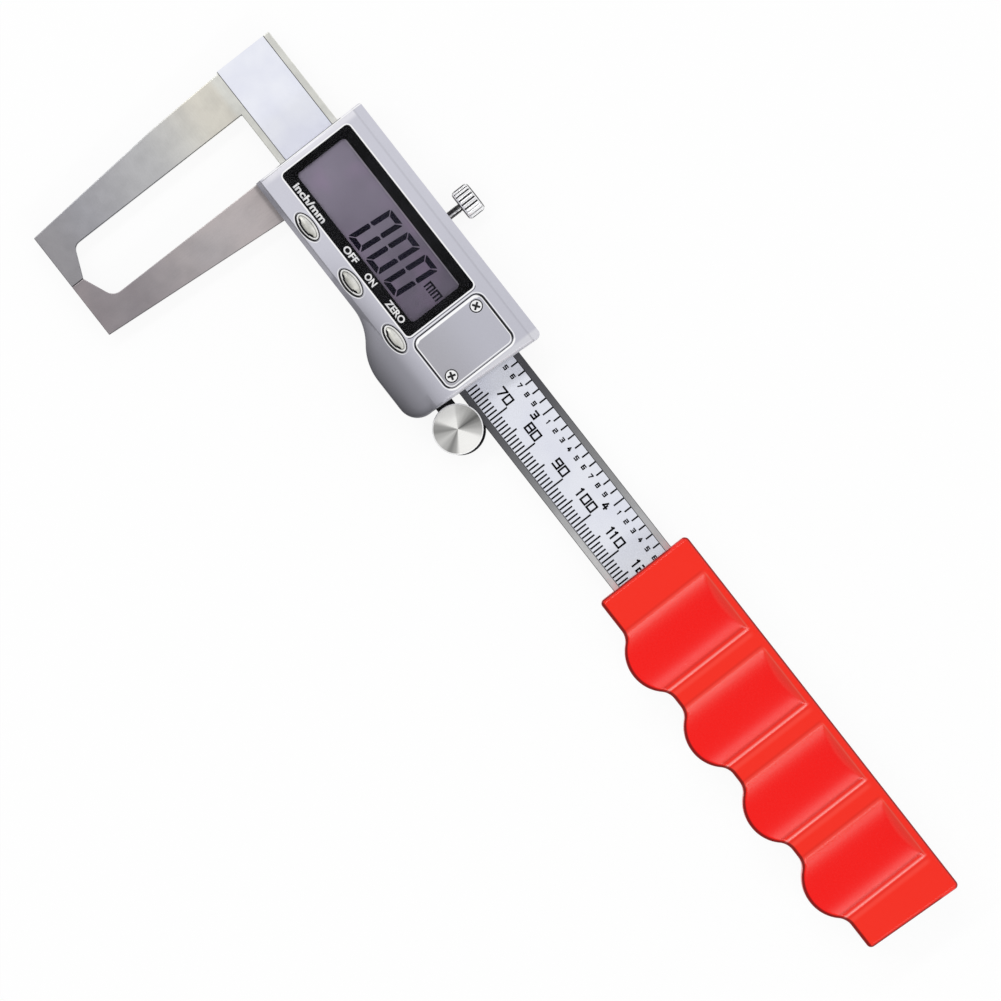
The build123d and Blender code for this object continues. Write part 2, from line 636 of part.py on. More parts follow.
def front_housing():
    """Housing of the display, with its window seat, button holes and battery well."""
    shell = housing_shell() - housing_hollow()
    shell += housing_posts()
    shell -= raise_plan(window_plan(0), (WINDOW_SEAT, HOUSING_TOP))
    shell -= raise_plan(view_plan(SEAT_OVERHANG), (CAVITY_ROOF, WINDOW_SEAT))
    shell -= raise_plan(cover_plan(0), (COVER_SEAT, HOUSING_TOP))
    well_radius = BATTERY_DIAMETER / 2 + BATTERY_CLEARANCE
    shell -= post(BATTERY_X, BATTERY_Y, well_radius, (CAVITY_ROOF, COVER_SEAT))
    grow = 2 * BUTTON_CLEARANCE
    for x in BUTTON_XS:
        hole = Pos(x, BUTTON_Y) * Ellipse((BUTTON_LENGTH + grow) / 2, (BUTTON_WIDTH + grow) / 2)
        shell -= raise_plan(hole, (CAVITY_ROOF, HOUSING_TOP))
    for x, y in PLATE_SCREWS:
        shell -= post(x, y, FASTENER_RADIUS, (FRAME_TOP, FRAME_TOP + PLATE_SCREW_REACH))
    for x, y in cover_screw_places():
        z_range = (COVER_SEAT - COVER_SCREW_LENGTH, COVER_SEAT)
        shell -= post(x, y, COVER_SCREW_RADIUS, z_range)
    return shell


# Display and board

def window_mask():
    """Black border of the display."""
    z_range = (WINDOW_SEAT, WINDOW_SEAT + MASK_THICKNESS)
    border = raise_plan(window_plan(FIT_CLEARANCE), z_range)
    return border - raise_plan(view_plan(0), z_range)


def display_window():
    """Clear pane over the border and the display."""
    z_range = (WINDOW_SEAT + MASK_THICKNESS, HOUSING_TOP - WINDOW_SUNK)
    return raise_plan(window_plan(FIT_CLEARANCE), z_range)


def glass_range():
    """Sides of the display glass, which overlaps the opening in the housing all round."""
    grow = SEAT_OVERHANG + GLASS_OVERLAP
    x_range = (WINDOW_LEFT + VIEW_SIDE_BORDER - grow, WINDOW_RIGHT - VIEW_SIDE_BORDER + grow)
    y_range = (WINDOW_LOWER + VIEW_BOTTOM_BORDER - grow, WINDOW_UPPER - VIEW_TOP_BORDER + grow)
    return x_range, y_range


def lcd_panel():
    """Glass of the display, against the inside of the front wall."""
    x_range, y_range = glass_range()
    return slab(x_range, y_range, (GLASS_BACK, CAVITY_ROOF))


def lcd_connectors():
    """Two rubber strips that join the display to the board."""
    x_range, y_range = glass_range()
    x_range = (x_range[0] + CONNECTOR_END_MARGIN, x_range[1] - CONNECTOR_END_MARGIN)
    z_range = (BOARD_TOP, GLASS_BACK)
    lower = (y_range[0], y_range[0] + CONNECTOR_WIDTH)
    upper = (y_range[1] - CONNECTOR_WIDTH, y_range[1])
    return [slab(x_range, y_pair, z_range) for y_pair in (lower, upper)]


def circuit_board():
    """Board on the rails of the frame, cut out round the screw posts."""
    inner = offset(body_plan(), -HOUSING_WALL - BOARD_CLEARANCE)
    board = raise_plan(inner, (FRAME_TOP, BOARD_TOP))
    for x, y in PLATE_SCREWS:
        board -= post(x, y, POST_RADIUS + BOARD_CLEARANCE, (FRAME_TOP, BOARD_TOP))
    return board


# Buttons

def button_switches():
    """Switches on the board, one below each button."""
    half_x = SWITCH_LENGTH / 2
    half_y = SWITCH_WIDTH / 2
    z_range = (BOARD_TOP, BOARD_TOP + SWITCH_HEIGHT)
    y_range = (BUTTON_Y - half_y, BUTTON_Y + half_y)
    return [slab((x - half_x, x + half_x), y_range, z_range) for x in BUTTON_XS]


def push_button(x):
    """Oval button with a domed top, a flange below the front wall and a stem."""
    flange_top = CAVITY_ROOF - FIT_CLEARANCE
    flange_bottom = flange_top - BUTTON_FLANGE_THICKNESS
    crown = HOUSING_TOP + BUTTON_RISE
    oval = Pos(x, BUTTON_Y) * Ellipse(BUTTON_LENGTH / 2, BUTTON_WIDTH / 2)
    cap = raise_plan(oval, (flange_bottom, crown))
    cap = fillet(top_edges(cap, crown), BUTTON_DOME)
    wide = BUTTON_LENGTH + 2 * BUTTON_FLANGE_MARGIN
    flange = Pos(x, BUTTON_Y) * SlotOverall(wide, BUTTON_WIDTH - BUTTON_CLEARANCE)
    button = cap + raise_plan(flange, (flange_bottom, flange_top))
    stem_tip = BOARD_TOP + SWITCH_HEIGHT + BUTTON_TRAVEL + BUTTON_CLEARANCE
    return button + post(x, BUTTON_Y, BUTTON_STEM_RADIUS, (stem_tip, flange_bottom))


# Battery

def battery():
    """Button cell with its narrower cap down."""
    cap_top = BATTERY_BOTTOM + BATTERY_CAP_HEIGHT
    cap = post(BATTERY_X, BATTERY_Y, BATTERY_CAP_RADIUS, (BATTERY_BOTTOM, cap_top))
    return cap + post(BATTERY_X, BATTERY_Y, BATTERY_DIAMETER / 2, (cap_top, BATTERY_TOP))


def negative_contact():
    """Arched spring strip between the board and the cap of the cell."""
    rise = BATTERY_BOTTOM - BOARD_TOP - CONTACT_STRIP_THICKNESS
    reach = BATTERY_CAP_RADIUS
    foot = reach / 2
    line = [(-reach, 0), (-foot, 0), (0, rise), (foot, 0), (reach, 0)]
    upper = [(x, z + CONTACT_STRIP_THICKNESS) for x, z in reversed(line)]
    points = [(BATTERY_X + x, BOARD_TOP + z) for x, z in line + upper]
    strip = Plane.XZ * make_face(Polyline(*points, close=True))
    return Pos(0, BATTERY_Y, 0) * extrude(strip, CONTACT_STRIP_WIDTH / 2, both=True)


def positive_contact():
    """Upright clip beside the cell, standing on the board."""
    side = BATTERY_Y - BATTERY_DIAMETER / 2 - FIT_CLEARANCE
    half = CONTACT_STRIP_WIDTH / 2
    x_range = (BATTERY_X - half, BATTERY_X + half)
    foot_y = (side - CONTACT_STRIP_WIDTH, side)
    foot = slab(x_range, foot_y, (BOARD_TOP, BOARD_TOP + CONTACT_STRIP_THICKNESS))
    upright_z = (BOARD_TOP, BATTERY_TOP - CONTACT_STRIP_THICKNESS)
    return foot + slab(x_range, (side - CONTACT_STRIP_THICKNESS, side), upright_z)


def battery_cover():
    """Flush cover with round corners, and a pad that holds the cell down."""
    cover = raise_plan(cover_plan(COVER_GROOVE), (COVER_SEAT, HOUSING_TOP))
    cover += post(BATTERY_X, BATTERY_Y, COVER_PAD_RADIUS, (BATTERY_TOP, COVER_SEAT))
    head_floor = HOUSING_TOP - COVER_SCREW_HEAD_HEIGHT
    for x, y in cover_screw_places():
        hole = COVER_SCREW_HEAD_RADIUS + FIT_CLEARANCE
        cover -= post(x, y, hole, (head_floor, HOUSING_TOP))
        cover -= post(x, y, COVER_SCREW_RADIUS + FIT_CLEARANCE, (COVER_SEAT, head_floor))
    return cover


def battery_cover_screws():
    """Two small screws with flat round heads."""
    head_floor = HOUSING_TOP - COVER_SCREW_HEAD_HEIGHT
    tip = COVER_SEAT - COVER_SCREW_LENGTH
    screws = []
    for x, y in cover_screw_places():
        head = post(x, y, COVER_SCREW_HEAD_RADIUS, (head_floor, HOUSING_TOP))
        screws.append(head + post(x, y, COVER_SCREW_RADIUS, (tip, head_floor)))
    return screws


# Lock screw and thumb roller

def lock_screw():
    """Knurled screw in the upper rail, which clamps the gib against the beam."""
    shank_y = (GIB_UPPER + FIT_CLEARANCE, LOCK_HEAD_LOWER)
    radius = LOCK_HEAD_DIAMETER / 2
    head = rod(LOCK_X, BEAM_MIDDLE, radius, (LOCK_HEAD_LOWER, LOCK_HEAD_UPPER))
    rims = [edge for edge in head.edges() if edge.geom_type == GeomType.CIRCLE]
    head = fillet(rims, LOCK_HEAD_ROUNDING)
    for i in range(LOCK_RIDGES):
        angle = 2 * math.pi * i / LOCK_RIDGES
        x = LOCK_X + radius * math.cos(angle)
        z = BEAM_MIDDLE + radius * math.sin(angle)
        head -= rod(x, z, LOCK_GROOVE_RADIUS, (LOCK_HEAD_LOWER, LOCK_HEAD_UPPER))
    return head + rod(LOCK_X, BEAM_MIDDLE, FASTENER_RADIUS, shank_y)


def bracket_plan(grow):
    """Outline of the roller bracket: arm and a round guard that shows beyond the roller."""
    arm_left = SCREW_XS[1] - BRACKET_WIDTH / 2
    arm_y = (LOWER_SCREW_Y - BRACKET_WIDTH / 2, LOWER_SCREW_Y + BRACKET_WIDTH / 2)
    arm = rounded_plan((arm_left - grow, ROLLER_X), (arm_y[0] - grow, arm_y[1] + grow), 1)
    guard = Pos(BRACKET_GUARD_SHIFT, 0) * Circle(BRACKET_GUARD_RADIUS + grow)
    guard = Pos(ROLLER_X, ROLLER_Y) * Rot(0, 0, BRACKET_GUARD_ANGLE) * guard
    return arm + guard


def roller_bracket():
    """Flat bracket clamped between back plate and frame by one of the plate's screws."""
    z_range = (FRAME_BACK, FRAME_BACK + BRACKET_THICKNESS)
    bracket = raise_plan(bracket_plan(0), z_range)
    bracket -= post(SCREW_XS[1], LOWER_SCREW_Y, FASTENER_RADIUS, z_range)
    return bracket - post(ROLLER_X, ROLLER_Y, ROLLER_PIN_RADIUS, z_range)


def roller_top():
    """Height of the roller's flat rim."""
    return BEAM_FRONT + ROLLER_LIFT + ROLLER_FACE_THICKNESS


def roller_pin():
    """Axle of the roller, fixed in the bracket."""
    tip = roller_top() - ROLLER_FACE_DISH - ROLLER_FACE_THICKNESS / 2
    return post(ROLLER_X, ROLLER_Y, ROLLER_PIN_RADIUS, (FRAME_BACK, tip))


def thumb_roller():
    """Roller whose hub runs on the beam's edge, with a wider dished face above the beam."""
    back = FRAME_BACK + BRACKET_THICKNESS + SLIDE_CLEARANCE
    face = BEAM_FRONT + ROLLER_LIFT
    top = roller_top()
    bore = ROLLER_PIN_RADIUS + ROLLER_PIN_CLEARANCE
    bore_top = top - ROLLER_FACE_DISH - ROLLER_FACE_THICKNESS / 2 + SLIDE_CLEARANCE
    section = Plane.XZ * make_face(Polyline(
        (bore, back),
        (HUB_RADIUS, back),
        (HUB_RADIUS, face),
        (ROLLER_RADIUS - ROLLER_RIM, face),
        (ROLLER_RADIUS, face + ROLLER_RIM),
        (ROLLER_RADIUS, top - ROLLER_RIM),
        (ROLLER_RADIUS - ROLLER_RIM, top),
        (0, top - ROLLER_FACE_DISH),
        (0, bore_top),
        (bore, bore_top),
        close=True,
    ))
    return Pos(ROLLER_X, ROLLER_Y, 0) * revolve(section, Axis.Z)


def make_pieces():
    """All pieces by name, in the working frame. A list is a set of like pieces."""
    return {
        "main_beam": main_beam(),
        "stator_strip": stator_strip(),
        "scale_label": scale_label(),
        "handle": handle(),
        "handle_screws": handle_screws(),
        "slider_frame": slider_frame(),
        "gib_strip": gib_strip(),
        "gib_screws": gib_screws(),
        "back_plate": back_plate(),
        "back_plate_screws": back_plate_screws(),
        "front_housing": front_housing(),
        "window_mask": window_mask(),
        "display_window": display_window(),
        "lcd_panel": lcd_panel(),
        "lcd_connectors": lcd_connectors(),
        "circuit_board": circuit_board(),
        "button_switches": button_switches(),
        "inch_mm_button": push_button(BUTTON_XS[0]),
        "on_off_button": push_button(BUTTON_XS[1]),
        "zero_button": push_button(BUTTON_XS[2]),
        "battery": battery(),
        "negative_contact": negative_contact(),
        "positive_contact": positive_contact(),
        "battery_cover": battery_cover(),
        "battery_cover_screws": battery_cover_screws(),
        "lock_screw": lock_screw(),
        "roller_bracket": roller_bracket(),
        "roller_pin": roller_pin(),
        "thumb_roller": thumb_roller(),
    }


os.makedirs("parts", exist_ok=True)
pieces = make_pieces()
for name, piece in pieces.items():
    solids = piece if isinstance(piece, list) else [piece]
    moved = [Pos(-ORIGIN_X, -ORIGIN_Y, 0) * solid for solid in solids]
    export_step(Compound(children=moved) if len(moved) > 1 else moved[0], f"parts/{name}.step")
print("origin in the working frame:", round(ORIGIN_X, 4), round(ORIGIN_Y, 4))
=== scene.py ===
"""Digital brake disc caliper: finishes, print and fine pieces around the packed model."""
import math
import bmesh
import bpy
from bpy.props import FloatProperty, FloatVectorProperty, IntProperty, PointerProperty
from mathutils import Matrix, Vector


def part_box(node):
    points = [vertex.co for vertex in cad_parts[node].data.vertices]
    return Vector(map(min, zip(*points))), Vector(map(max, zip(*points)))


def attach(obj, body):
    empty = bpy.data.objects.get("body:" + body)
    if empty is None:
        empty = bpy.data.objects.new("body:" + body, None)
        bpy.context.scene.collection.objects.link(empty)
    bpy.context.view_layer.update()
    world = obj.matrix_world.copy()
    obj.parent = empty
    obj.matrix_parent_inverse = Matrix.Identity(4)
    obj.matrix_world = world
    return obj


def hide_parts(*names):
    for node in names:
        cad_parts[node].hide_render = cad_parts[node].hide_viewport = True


bl_info = {
    "name": "Brake Disc Caliper",
    "version": (1, 0, 0),
    "blender": (4, 5, 0),
    "location": "View3D > Sidebar > Caliper",
    "description": "Dresses a digital brake disc caliper and sets its studio",
    "category": "Add Mesh",
}

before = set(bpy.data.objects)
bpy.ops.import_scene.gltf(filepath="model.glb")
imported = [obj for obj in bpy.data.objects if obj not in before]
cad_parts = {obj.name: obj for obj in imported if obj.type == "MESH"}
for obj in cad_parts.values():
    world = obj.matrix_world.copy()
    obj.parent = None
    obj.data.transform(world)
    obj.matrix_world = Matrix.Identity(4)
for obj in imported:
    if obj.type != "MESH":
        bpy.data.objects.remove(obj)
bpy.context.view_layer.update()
MM = 0.001
INCH = 25.4 * MM
FULL_TURN = 2 * math.pi
BUTTONS = "inch_mm_button", "on_off_button", "zero_button"
HOUSING_LEAN = 0.078  # step in X per step in Y of the housing's far end
WORD_ORIGIN = 120.155  # millimetres from the middle back to where the words are measured from
HOLE_HALF = 3.65 * MM, 1.7 * MM  # half length and half width of a button's hole
SCREW_TURN = 0.63  # radians that a screw is turned further than the one before it
RING_WAVES = 42000.0  # radians per metre of the roller's fine rings
VIEW_COSINE, VIEW_SINE = 0.61566, 0.78801  # turn of the caliper in the camera's view
VIEW_MIDDLE = -8.01 * MM, 4.13 * MM  # place under the camera


def tint(red, green, blue):
    """Linear colour from screen values between 0 and 255."""
    parts = [value / 255 for value in (red, green, blue)]
    return tuple(part / 12.92 if part <= 0.04045 else ((part + 0.055) / 1.055) ** 2.4 for part in parts)


def length(name, description, millimetres):
    """Length property, given in millimetres and kept in metres."""
    return FloatProperty(name=name, description=description, default=millimetres * MM,
                         unit="LENGTH", precision=5)


def number(name, description, default):
    """Property for a plain number."""
    return FloatProperty(name=name, description=description, default=default)


def colour(name, description, *screen):
    """Colour property, given in screen values."""
    return FloatVectorProperty(name=name, description=description, default=tint(*screen),
                               subtype="COLOR", size=3, min=0, max=1)


# Settings

class ScalePrint(bpy.types.PropertyGroup):
    """Printed scales on the beam."""
    zero_mark: length("Zero mark", "Place of both zero marks along the beam", -93.305)
    marks: IntProperty(name="Millimetre marks", description="Marks after zero", default=122)
    inch_marks: IntProperty(name="Inch marks", description="Tenths after zero", default=48)
    tick_width: length("Tick width", "Width of every printed line of the scales", 0.38)
    short_tick: length("Short tick", "Length of a millimetre mark", 2.65)
    middle_tick: length("Middle tick", "Length of a five millimetre mark", 3.55)
    long_tick: length("Long tick", "Length of a ten millimetre mark", 4.75)
    tenth_tick: length("Tenth tick", "Length of a mark of a tenth of an inch", 1.75)
    inch_tick: length("Inch tick", "Length of a mark of a whole inch", 2.8)
    figure_height: length("Figure height", "Height of the millimetre figures", 1.93)
    tenth_height: length("Tenth height", "Height of the figures of the tenths", 0.87)
    inch_height: length("Inch height", "Height of the figures of whole inches", 1.45)
    ink_height: length("Ink height", "How far print stands above what it is on", 0.015)


class DisplayPrint(bpy.types.PropertyGroup):
    """Segments of the display and the words below it."""
    digit_width: length("Digit width", "Width of a seven segment digit", 4.62)
    digit_height: length("Digit height", "Height of a seven segment digit", 11.25)
    digit_pitch: length("Digit pitch", "Distance between two digits", 6.27)
    first_digit: length("First digit", "Place of the first digit from the view's left", 17.5)
    digit_rise: length("Digit rise", "Place of the digits above the view's lower edge", 0.47)
    segment_width: length("Segment width", "Width of a segment", 1.22)
    segment_gap: length("Segment gap", "Gap between two segments", 0.1)
    slant: number("Slant", "Lean of the digits", 0.1)
    word_height: length("Word height", "Height of the words on the border", 1.65)


class GripShape(bpy.types.PropertyGroup):
    """Form of the moulded handle."""
    first_finger: length("First finger", "Place of the first finger from the start", 17.4)
    finger_pitch: length("Finger pitch", "Distance between two fingers", 21.07)
    finger_radius: length("Finger radius", "Radius of a finger bump", 8.9)
    finger_depth: length("Finger depth", "How far a bump stands out", 4.1)
    finger_blend: length("Finger blend", "Radius between bump and land", 4.0)
    scoop_width: length("Scoop width", "Width of a finger scoop", 16.1)
    scoop_shift: length("Scoop shift", "How far a scoop lies before its finger", 0.5)
    scoop_depth: length("Scoop depth", "Depth of a finger scoop", 1.8)
    scoop_blend: length("Scoop blend", "Radius along the edge of a scoop", 2.2)
    rim: length("Rim", "Width of the rim left round the scoops", 1.5)
    edge: length("Edge", "Rounding of the handle's edges", 1.1)
    lean: length("Lean", "How far the far end leans", 1.2)
    step: length("Step", "Distance between two sections of the mesh", 0.22)


class KnobShape(bpy.types.PropertyGroup):
    """Lock screw, thumb roller and screws."""
    flutes: IntProperty(name="Flutes", description="Flutes round the lock screw", default=20)
    flute_depth: length("Flute depth", "Depth of a flute of the lock screw", 0.34)
    ribs: IntProperty(name="Ribs", description="Ribs round the roller's edge", default=72)
    rib_depth: length("Rib depth", "Depth between two ribs of the roller", 0.12)
    thread_pitch: length("Thread pitch", "Pitch of the lock screw's thread", 0.4)
    thread_depth: length("Thread depth", "Height of the thread", 0.14)


class Finishes(bpy.types.PropertyGroup):
    """Colours of the materials."""
    grip: colour("Grip", "Red of the handle", 246, 42, 24)
    # Painted shade: the deeper red in the scoops stands in for their shade.
    grip_deep: colour("Grip in the scoops", "Deeper red in the scoops", 246, 6, 0)
    silver: colour("Silver", "Light side of the housing", 211, 211, 222)
    silver_shade: colour("Silver shade", "Dark side of the housing", 188, 188, 199)
    steel: colour("Steel", "Brushed stainless steel", 206, 202, 205)
    steel_warm: colour("Warm steel", "Warmer patches of the steel", 255, 255, 248)
    steel_low: colour("Low steel", "Steel at the tips of the jaws", 178, 176, 180)
    # Painted dark reflection: the dark stretch of the rails beside the slider.
    steel_dark: colour("Dark steel", "Dark ground rails of the beam", 98, 98, 103)
    foil: colour("Foil", "Scale label", 234, 236, 244)
    foil_cloud: colour("Foil cloud", "Faint clouds of the label", 227, 229, 240)
    glass: colour("Display", "Ground of the display", 147, 139, 158)
    glass_cloud: colour("Display cloud", "Darker part of the display", 100, 92, 110)
    ink: colour("Ink", "Print of the scales", 4, 4, 6)
    segment: colour("Segment", "Segments of the display", 10, 8, 24)
    word: colour("Word", "Words on the border", 252, 252, 252)
    button: colour("Button", "Buttons", 176, 176, 167)
    chrome: colour("Chrome", "Lock screw", 250, 250, 252)


class StudioLight(bpy.types.PropertyGroup):
    """Levels of the studio."""
    fill: number("Fill", "Even light from all sides", 0.72)
    left_strip: number("Left strip", "Radiance of the near strip", 5.5)
    right_strip: number("Right strip", "Radiance of the far strip", 3.0)
    lid: number("Grey card", "Radiance of the card above", 0.5)
    shadow: number("Shadow", "How dark the floor's shadow is", 0.1)
    field: length("Field", "Width of the camera's view at the caliper", 220.5)
    distance: length("Distance", "Height of the camera", 3000.0)


GROUPS = {
    "scale_print": ScalePrint,
    "display_print": DisplayPrint,
    "grip_shape": GripShape,
    "knob_shape": KnobShape,
    "finishes": Finishes,
    "studio_light": StudioLight,
}


# Nodes

class Value:
    """Output of a node. Sums on it add nodes to its tree, and its keys are the node's outputs."""

    def __init__(self, tree, node, key=0):
        self.tree, self.node, self.key = tree, node, key

    def __getitem__(self, key):
        return Value(self.tree, self.node, key)

    def __add__(self, other):
        return self.tree.maths("ADD", self, other)

    def __sub__(self, other):
        return self.tree.maths("SUBTRACT", self, other)

    def __rsub__(self, other):
        return self.tree.maths("SUBTRACT", other, self)

    def __mul__(self, other):
        return self.tree.maths("MULTIPLY", self, other)

    def __truediv__(self, other):
        return self.tree.maths("DIVIDE", self, other)

    def most(self, other):
        """The larger of two values."""
        return self.tree.maths("MAXIMUM", self, other)

    def scaled(self, factor, offset):
        """Product with a factor, plus an offset."""
        return self.tree.maths("MULTIPLY_ADD", self, factor, offset)

    def remap(self, low, high, to_low=0.0, to_high=1.0, kind="LINEAR"):
        """Map Range node that stays between its two results."""
        span = {"Value": self, "From Min": low, "From Max": high, "To Min": to_low, "To Max": to_high}
        return self.tree.add("ShaderNodeMapRange", span, interpolation_type=kind)

    def past(self, place, low, high, *results):
        """Mask that changes between two distances from a place, in millimetres."""
        return self.remap(place + low * MM, place + high * MM, *results)

    def line(self, low, high, soft=0.05):
        """Mask that is one between two distances, in millimetres."""
        return self.past(0, low - soft, low + soft) * self.past(0, high + soft, high - soft)


class Tree:
    """Node tree with short ways to add nodes to it. In a material, shader is the node to feed."""

    def __init__(self, tree):
        self.nodes, self.links = tree.nodes, tree.links
        self.shader = tree.nodes.get("Principled BSDF")

    def plug(self, node, inputs):
        """Links a node's inputs to values, or sets them."""
        for key, value in inputs.items():
            socket = node.inputs[key]
            if isinstance(value, Value):
                self.links.new(value.node.outputs[value.key], socket)
            else:
                socket.default_value = (*value[:3], 1) if socket.type == "RGBA" else value

    def feed(self, **inputs):
        """Links or sets the inputs of the shader."""
        self.plug(self.shader, {key.replace("_", " "): value for key, value in inputs.items()})

    def add(self, kind, inputs=None, **options):
        """New node with its options set and its inputs linked or set."""
        made = self.nodes.new(kind)
        for key, value in options.items():
            setattr(made, key, value)
        self.plug(made, inputs or {})
        return Value(self, made)

    def maths(self, operation, *values):
        """Math node."""
        return self.add("ShaderNodeMath", dict(enumerate(values)), operation=operation)

    def vector(self, operation, *values):
        """Vector Math node."""
        keys = (0, "Scale") if operation == "SCALE" else (0, 1)
        made = self.add("ShaderNodeVectorMath", dict(zip(keys, values)), operation=operation)
        return made["Value" if operation in ("LENGTH", "DOT_PRODUCT") else "Vector"]

    def xyz(self, **parts):
        """Vector from its parts."""
        return self.add("ShaderNodeCombineXYZ", parts)

    def parts(self, vector):
        """Parts of a vector."""
        return self.add("ShaderNodeSeparateXYZ", {0: vector})

    def blend(self, factor, low, high):
        """Colour between two colours."""
        return self.add("ShaderNodeMix", {0: factor, 6: low, 7: high}, data_type="RGBA")[2]

    def use(self, group, **values):
        """Places a shared group."""
        return self.add("ShaderNodeGroup", values, node_tree=group())

    def noise(self, vector, scale, detail):
        """Noise texture."""
        return self.add("ShaderNodeTexNoise", {"Vector": vector, "Scale": scale, "Detail": detail})

    def clouds(self, scale, low=0.4, high=0.65):
        """Mask of soft clouds."""
        return self.use(cloud_group, Scale=scale, Low=low, High=high)

    def grain(self, stretch, smooth, rough):
        """Brushed grain with its roughness, which is fed to the shader."""
        made = self.use(grain_group, Stretch=stretch, Smooth=smooth, Rough=rough)
        self.feed(Roughness=made["Roughness"])
        return made

    def outline(self, low, high, corner):
        """Distance from a rounded box given by its ends, with the corners' radius in millimetres."""
        return self.use(outline_group, Centre=(low + high) / 2, Half=(high - low) / 2, Corner=corner * MM)

    def place(self, axis=None):
        """Place on the caliper, or its part along an axis."""
        found = self.add("ShaderNodeTexCoord")["Object"]
        return self.parts(found)[axis] if axis else found

    def slope(self, axis="Z"):
        """Part of the surface's normal along an axis."""
        return self.parts(self.add("ShaderNodeNewGeometry")["Normal"])[axis]

    def along(self, axis, low, high):
        """Mask that rises from one place to another along an axis, in millimetres."""
        return self.place(axis).remap(low * MM, high * MM, kind="SMOOTHSTEP")

    def both(self, *masks):
        """Product of masks. A mask can also be given as what along takes."""
        first, *others = [self.along(*mask) if isinstance(mask, tuple) else mask for mask in masks]
        for other in others:
            first = first * other
        return first

    def tones(self, base, *rows):
        """Colour drawn towards others in turn. A row has the other colour, its share and its masks."""
        for target, share, *masks in rows:
            base = self.blend(self.both(*masks) * share, base, target)
        return base

    def marked(self, base, metallic, white=(), black=(), bright=1.0):
        """Feeds the shader: painted highlights on marked edges and painted shade in marked gaps, and no metal
        on either.
        """
        marks = self.use(mark_group, Bright=bright)
        light, deep = marks["Bright"], marks["Dark"]
        for mask in white:
            light = light.most(mask)
        for mask in black:
            deep = deep.most(mask)
        # Painted highlight towards near white, painted shade towards near black.
        mixed = self.blend(deep, self.blend(light, base, (0.96, 0.96, 0.97)), (0.012, 0.012, 0.014))
        self.feed(Base_Color=mixed, Metallic=(1.0 - light.most(deep)) * metallic)

    def relief(self, height, micrometres, strength, **under):
        """Feeds the shader a bump from a height, over an optional Normal."""
        bump = {"Height": height, "Distance": micrometres * 1e-6, "Strength": strength, **under}
        self.feed(Normal=self.add("ShaderNodeBump", bump))

    def join(self, *parts):
        """Joined geometry."""
        made = self.add("GeometryNodeJoinGeometry")
        for part in parts:
            self.plug(made.node, {0: part})
        return made


def shared(kind, name, inputs, outputs):
    """Turns a function that fills a node group into one that gives the group, built only once."""
    def wrap(fill):
        def group():
            made = bpy.data.node_groups.get(name)
            if made is None:
                made = bpy.data.node_groups.new(name, kind)
                for sockets, side in ((inputs, "INPUT"), (outputs, "OUTPUT")):
                    for label, socket in (item.rsplit(" ", 1) for item in sockets.split(", ")):
                        made.interface.new_socket(label, in_out=side, socket_type="NodeSocket" + socket)
                tree = Tree(made)
                given, end = tree.add("NodeGroupInput"), tree.add("NodeGroupOutput")
                tree.plug(end.node, fill(tree, given))
            return made
        return group
    return wrap


@shared("ShaderNodeTree", "Brushed grain", "Stretch Vector, Smooth Float, Rough Float",
        "Roughness Float, Height Float, Mask Float")
def grain_group(t, given):
    """Stretched lines, with a roughness between two values."""
    place = t.place()
    lines = t.noise(t.vector("MULTIPLY", place, given["Stretch"]), 1.0, 3.0)
    spread = lines.scaled(0.7, t.noise(place, 90.0, 2.0) * 0.3).remap(0.3, 0.7)
    rough = spread.scaled(given["Rough"] - given["Smooth"], given["Smooth"])
    return {"Roughness": rough, "Height": lines, "Mask": spread}


@shared("ShaderNodeTree", "Soft clouds", "Scale Float, Low Float, High Float", "Mask Float")
def cloud_group(t, given):
    """Soft clouds that rise between two levels of the noise."""
    return {"Mask": t.noise(t.place(), given["Scale"], 2.0).remap(given["Low"], given["High"])}


@shared("ShaderNodeTree", "Edge wear", "Reach Float", "Mask Float, Normal Vector")
def edge_group(t, given):
    """Mask of the edges within a reach, for a painted highlight, and the rounded normal."""
    rounded = t.add("ShaderNodeBevel", {"Radius": given["Reach"]}, samples=8)
    near = t.vector("DOT_PRODUCT", rounded, t.add("ShaderNodeNewGeometry")["Normal"])
    return {"Mask": near.remap(0.995, 0.8), "Normal": rounded}


@shared("ShaderNodeTree", "Rounded outline", "Centre Vector, Half Vector, Corner Float", "Distance Float")
def outline_group(t, given):
    """Distance from a rounded rectangle, below zero inside it."""
    local = t.parts(t.vector("ABSOLUTE", t.vector("SUBTRACT", t.place(), given["Centre"])))
    half = t.parts(given["Half"])
    over = {axis: local[axis] - half[axis] + given["Corner"] for axis in "XY"}
    beyond = t.vector("LENGTH", t.xyz(**{axis: value.most(0.0) for axis, value in over.items()}))
    inner = t.maths("MINIMUM", over["X"].most(over["Y"]), 0.0)
    return {"Distance": beyond + inner - given["Corner"]}


@shared("ShaderNodeTree", "Oval outline", "Centre Vector, Scale Vector", "Distance Float")
def oval_group(t, given):
    """Distance from an oval, below zero inside it. The scale is one over each half length."""
    first = t.vector("MULTIPLY", t.vector("SUBTRACT", t.place(), given["Centre"]), given["Scale"])
    near = t.vector("LENGTH", first)
    return {"Distance": near * (near - 1.0) / t.vector("LENGTH", t.vector("MULTIPLY", first, given["Scale"]))}


@shared("ShaderNodeTree", "Marked faces", "Bright Float", "Bright Float, Dark Float")
def mark_group(t, given):
    """Masks of the faces that a mesh marks with more or less than zero: painted highlight above zero, painted
    shade below it.
    """
    mark = t.add("ShaderNodeAttribute", attribute_name="mark")["Fac"]
    return {"Bright": mark.remap(0.0, 1.0) * given["Bright"], "Dark": mark.remap(0.0, -1.0)}


# Materials

def finish(name, **sockets):
    """New material's tree, with sockets of its shader set."""
    made = bpy.data.materials.new(name)
    made.use_nodes = True
    t = Tree(made.node_tree)
    t.feed(**{"Metallic": 0.0, "Roughness": 0.4, **sockets})
    return t


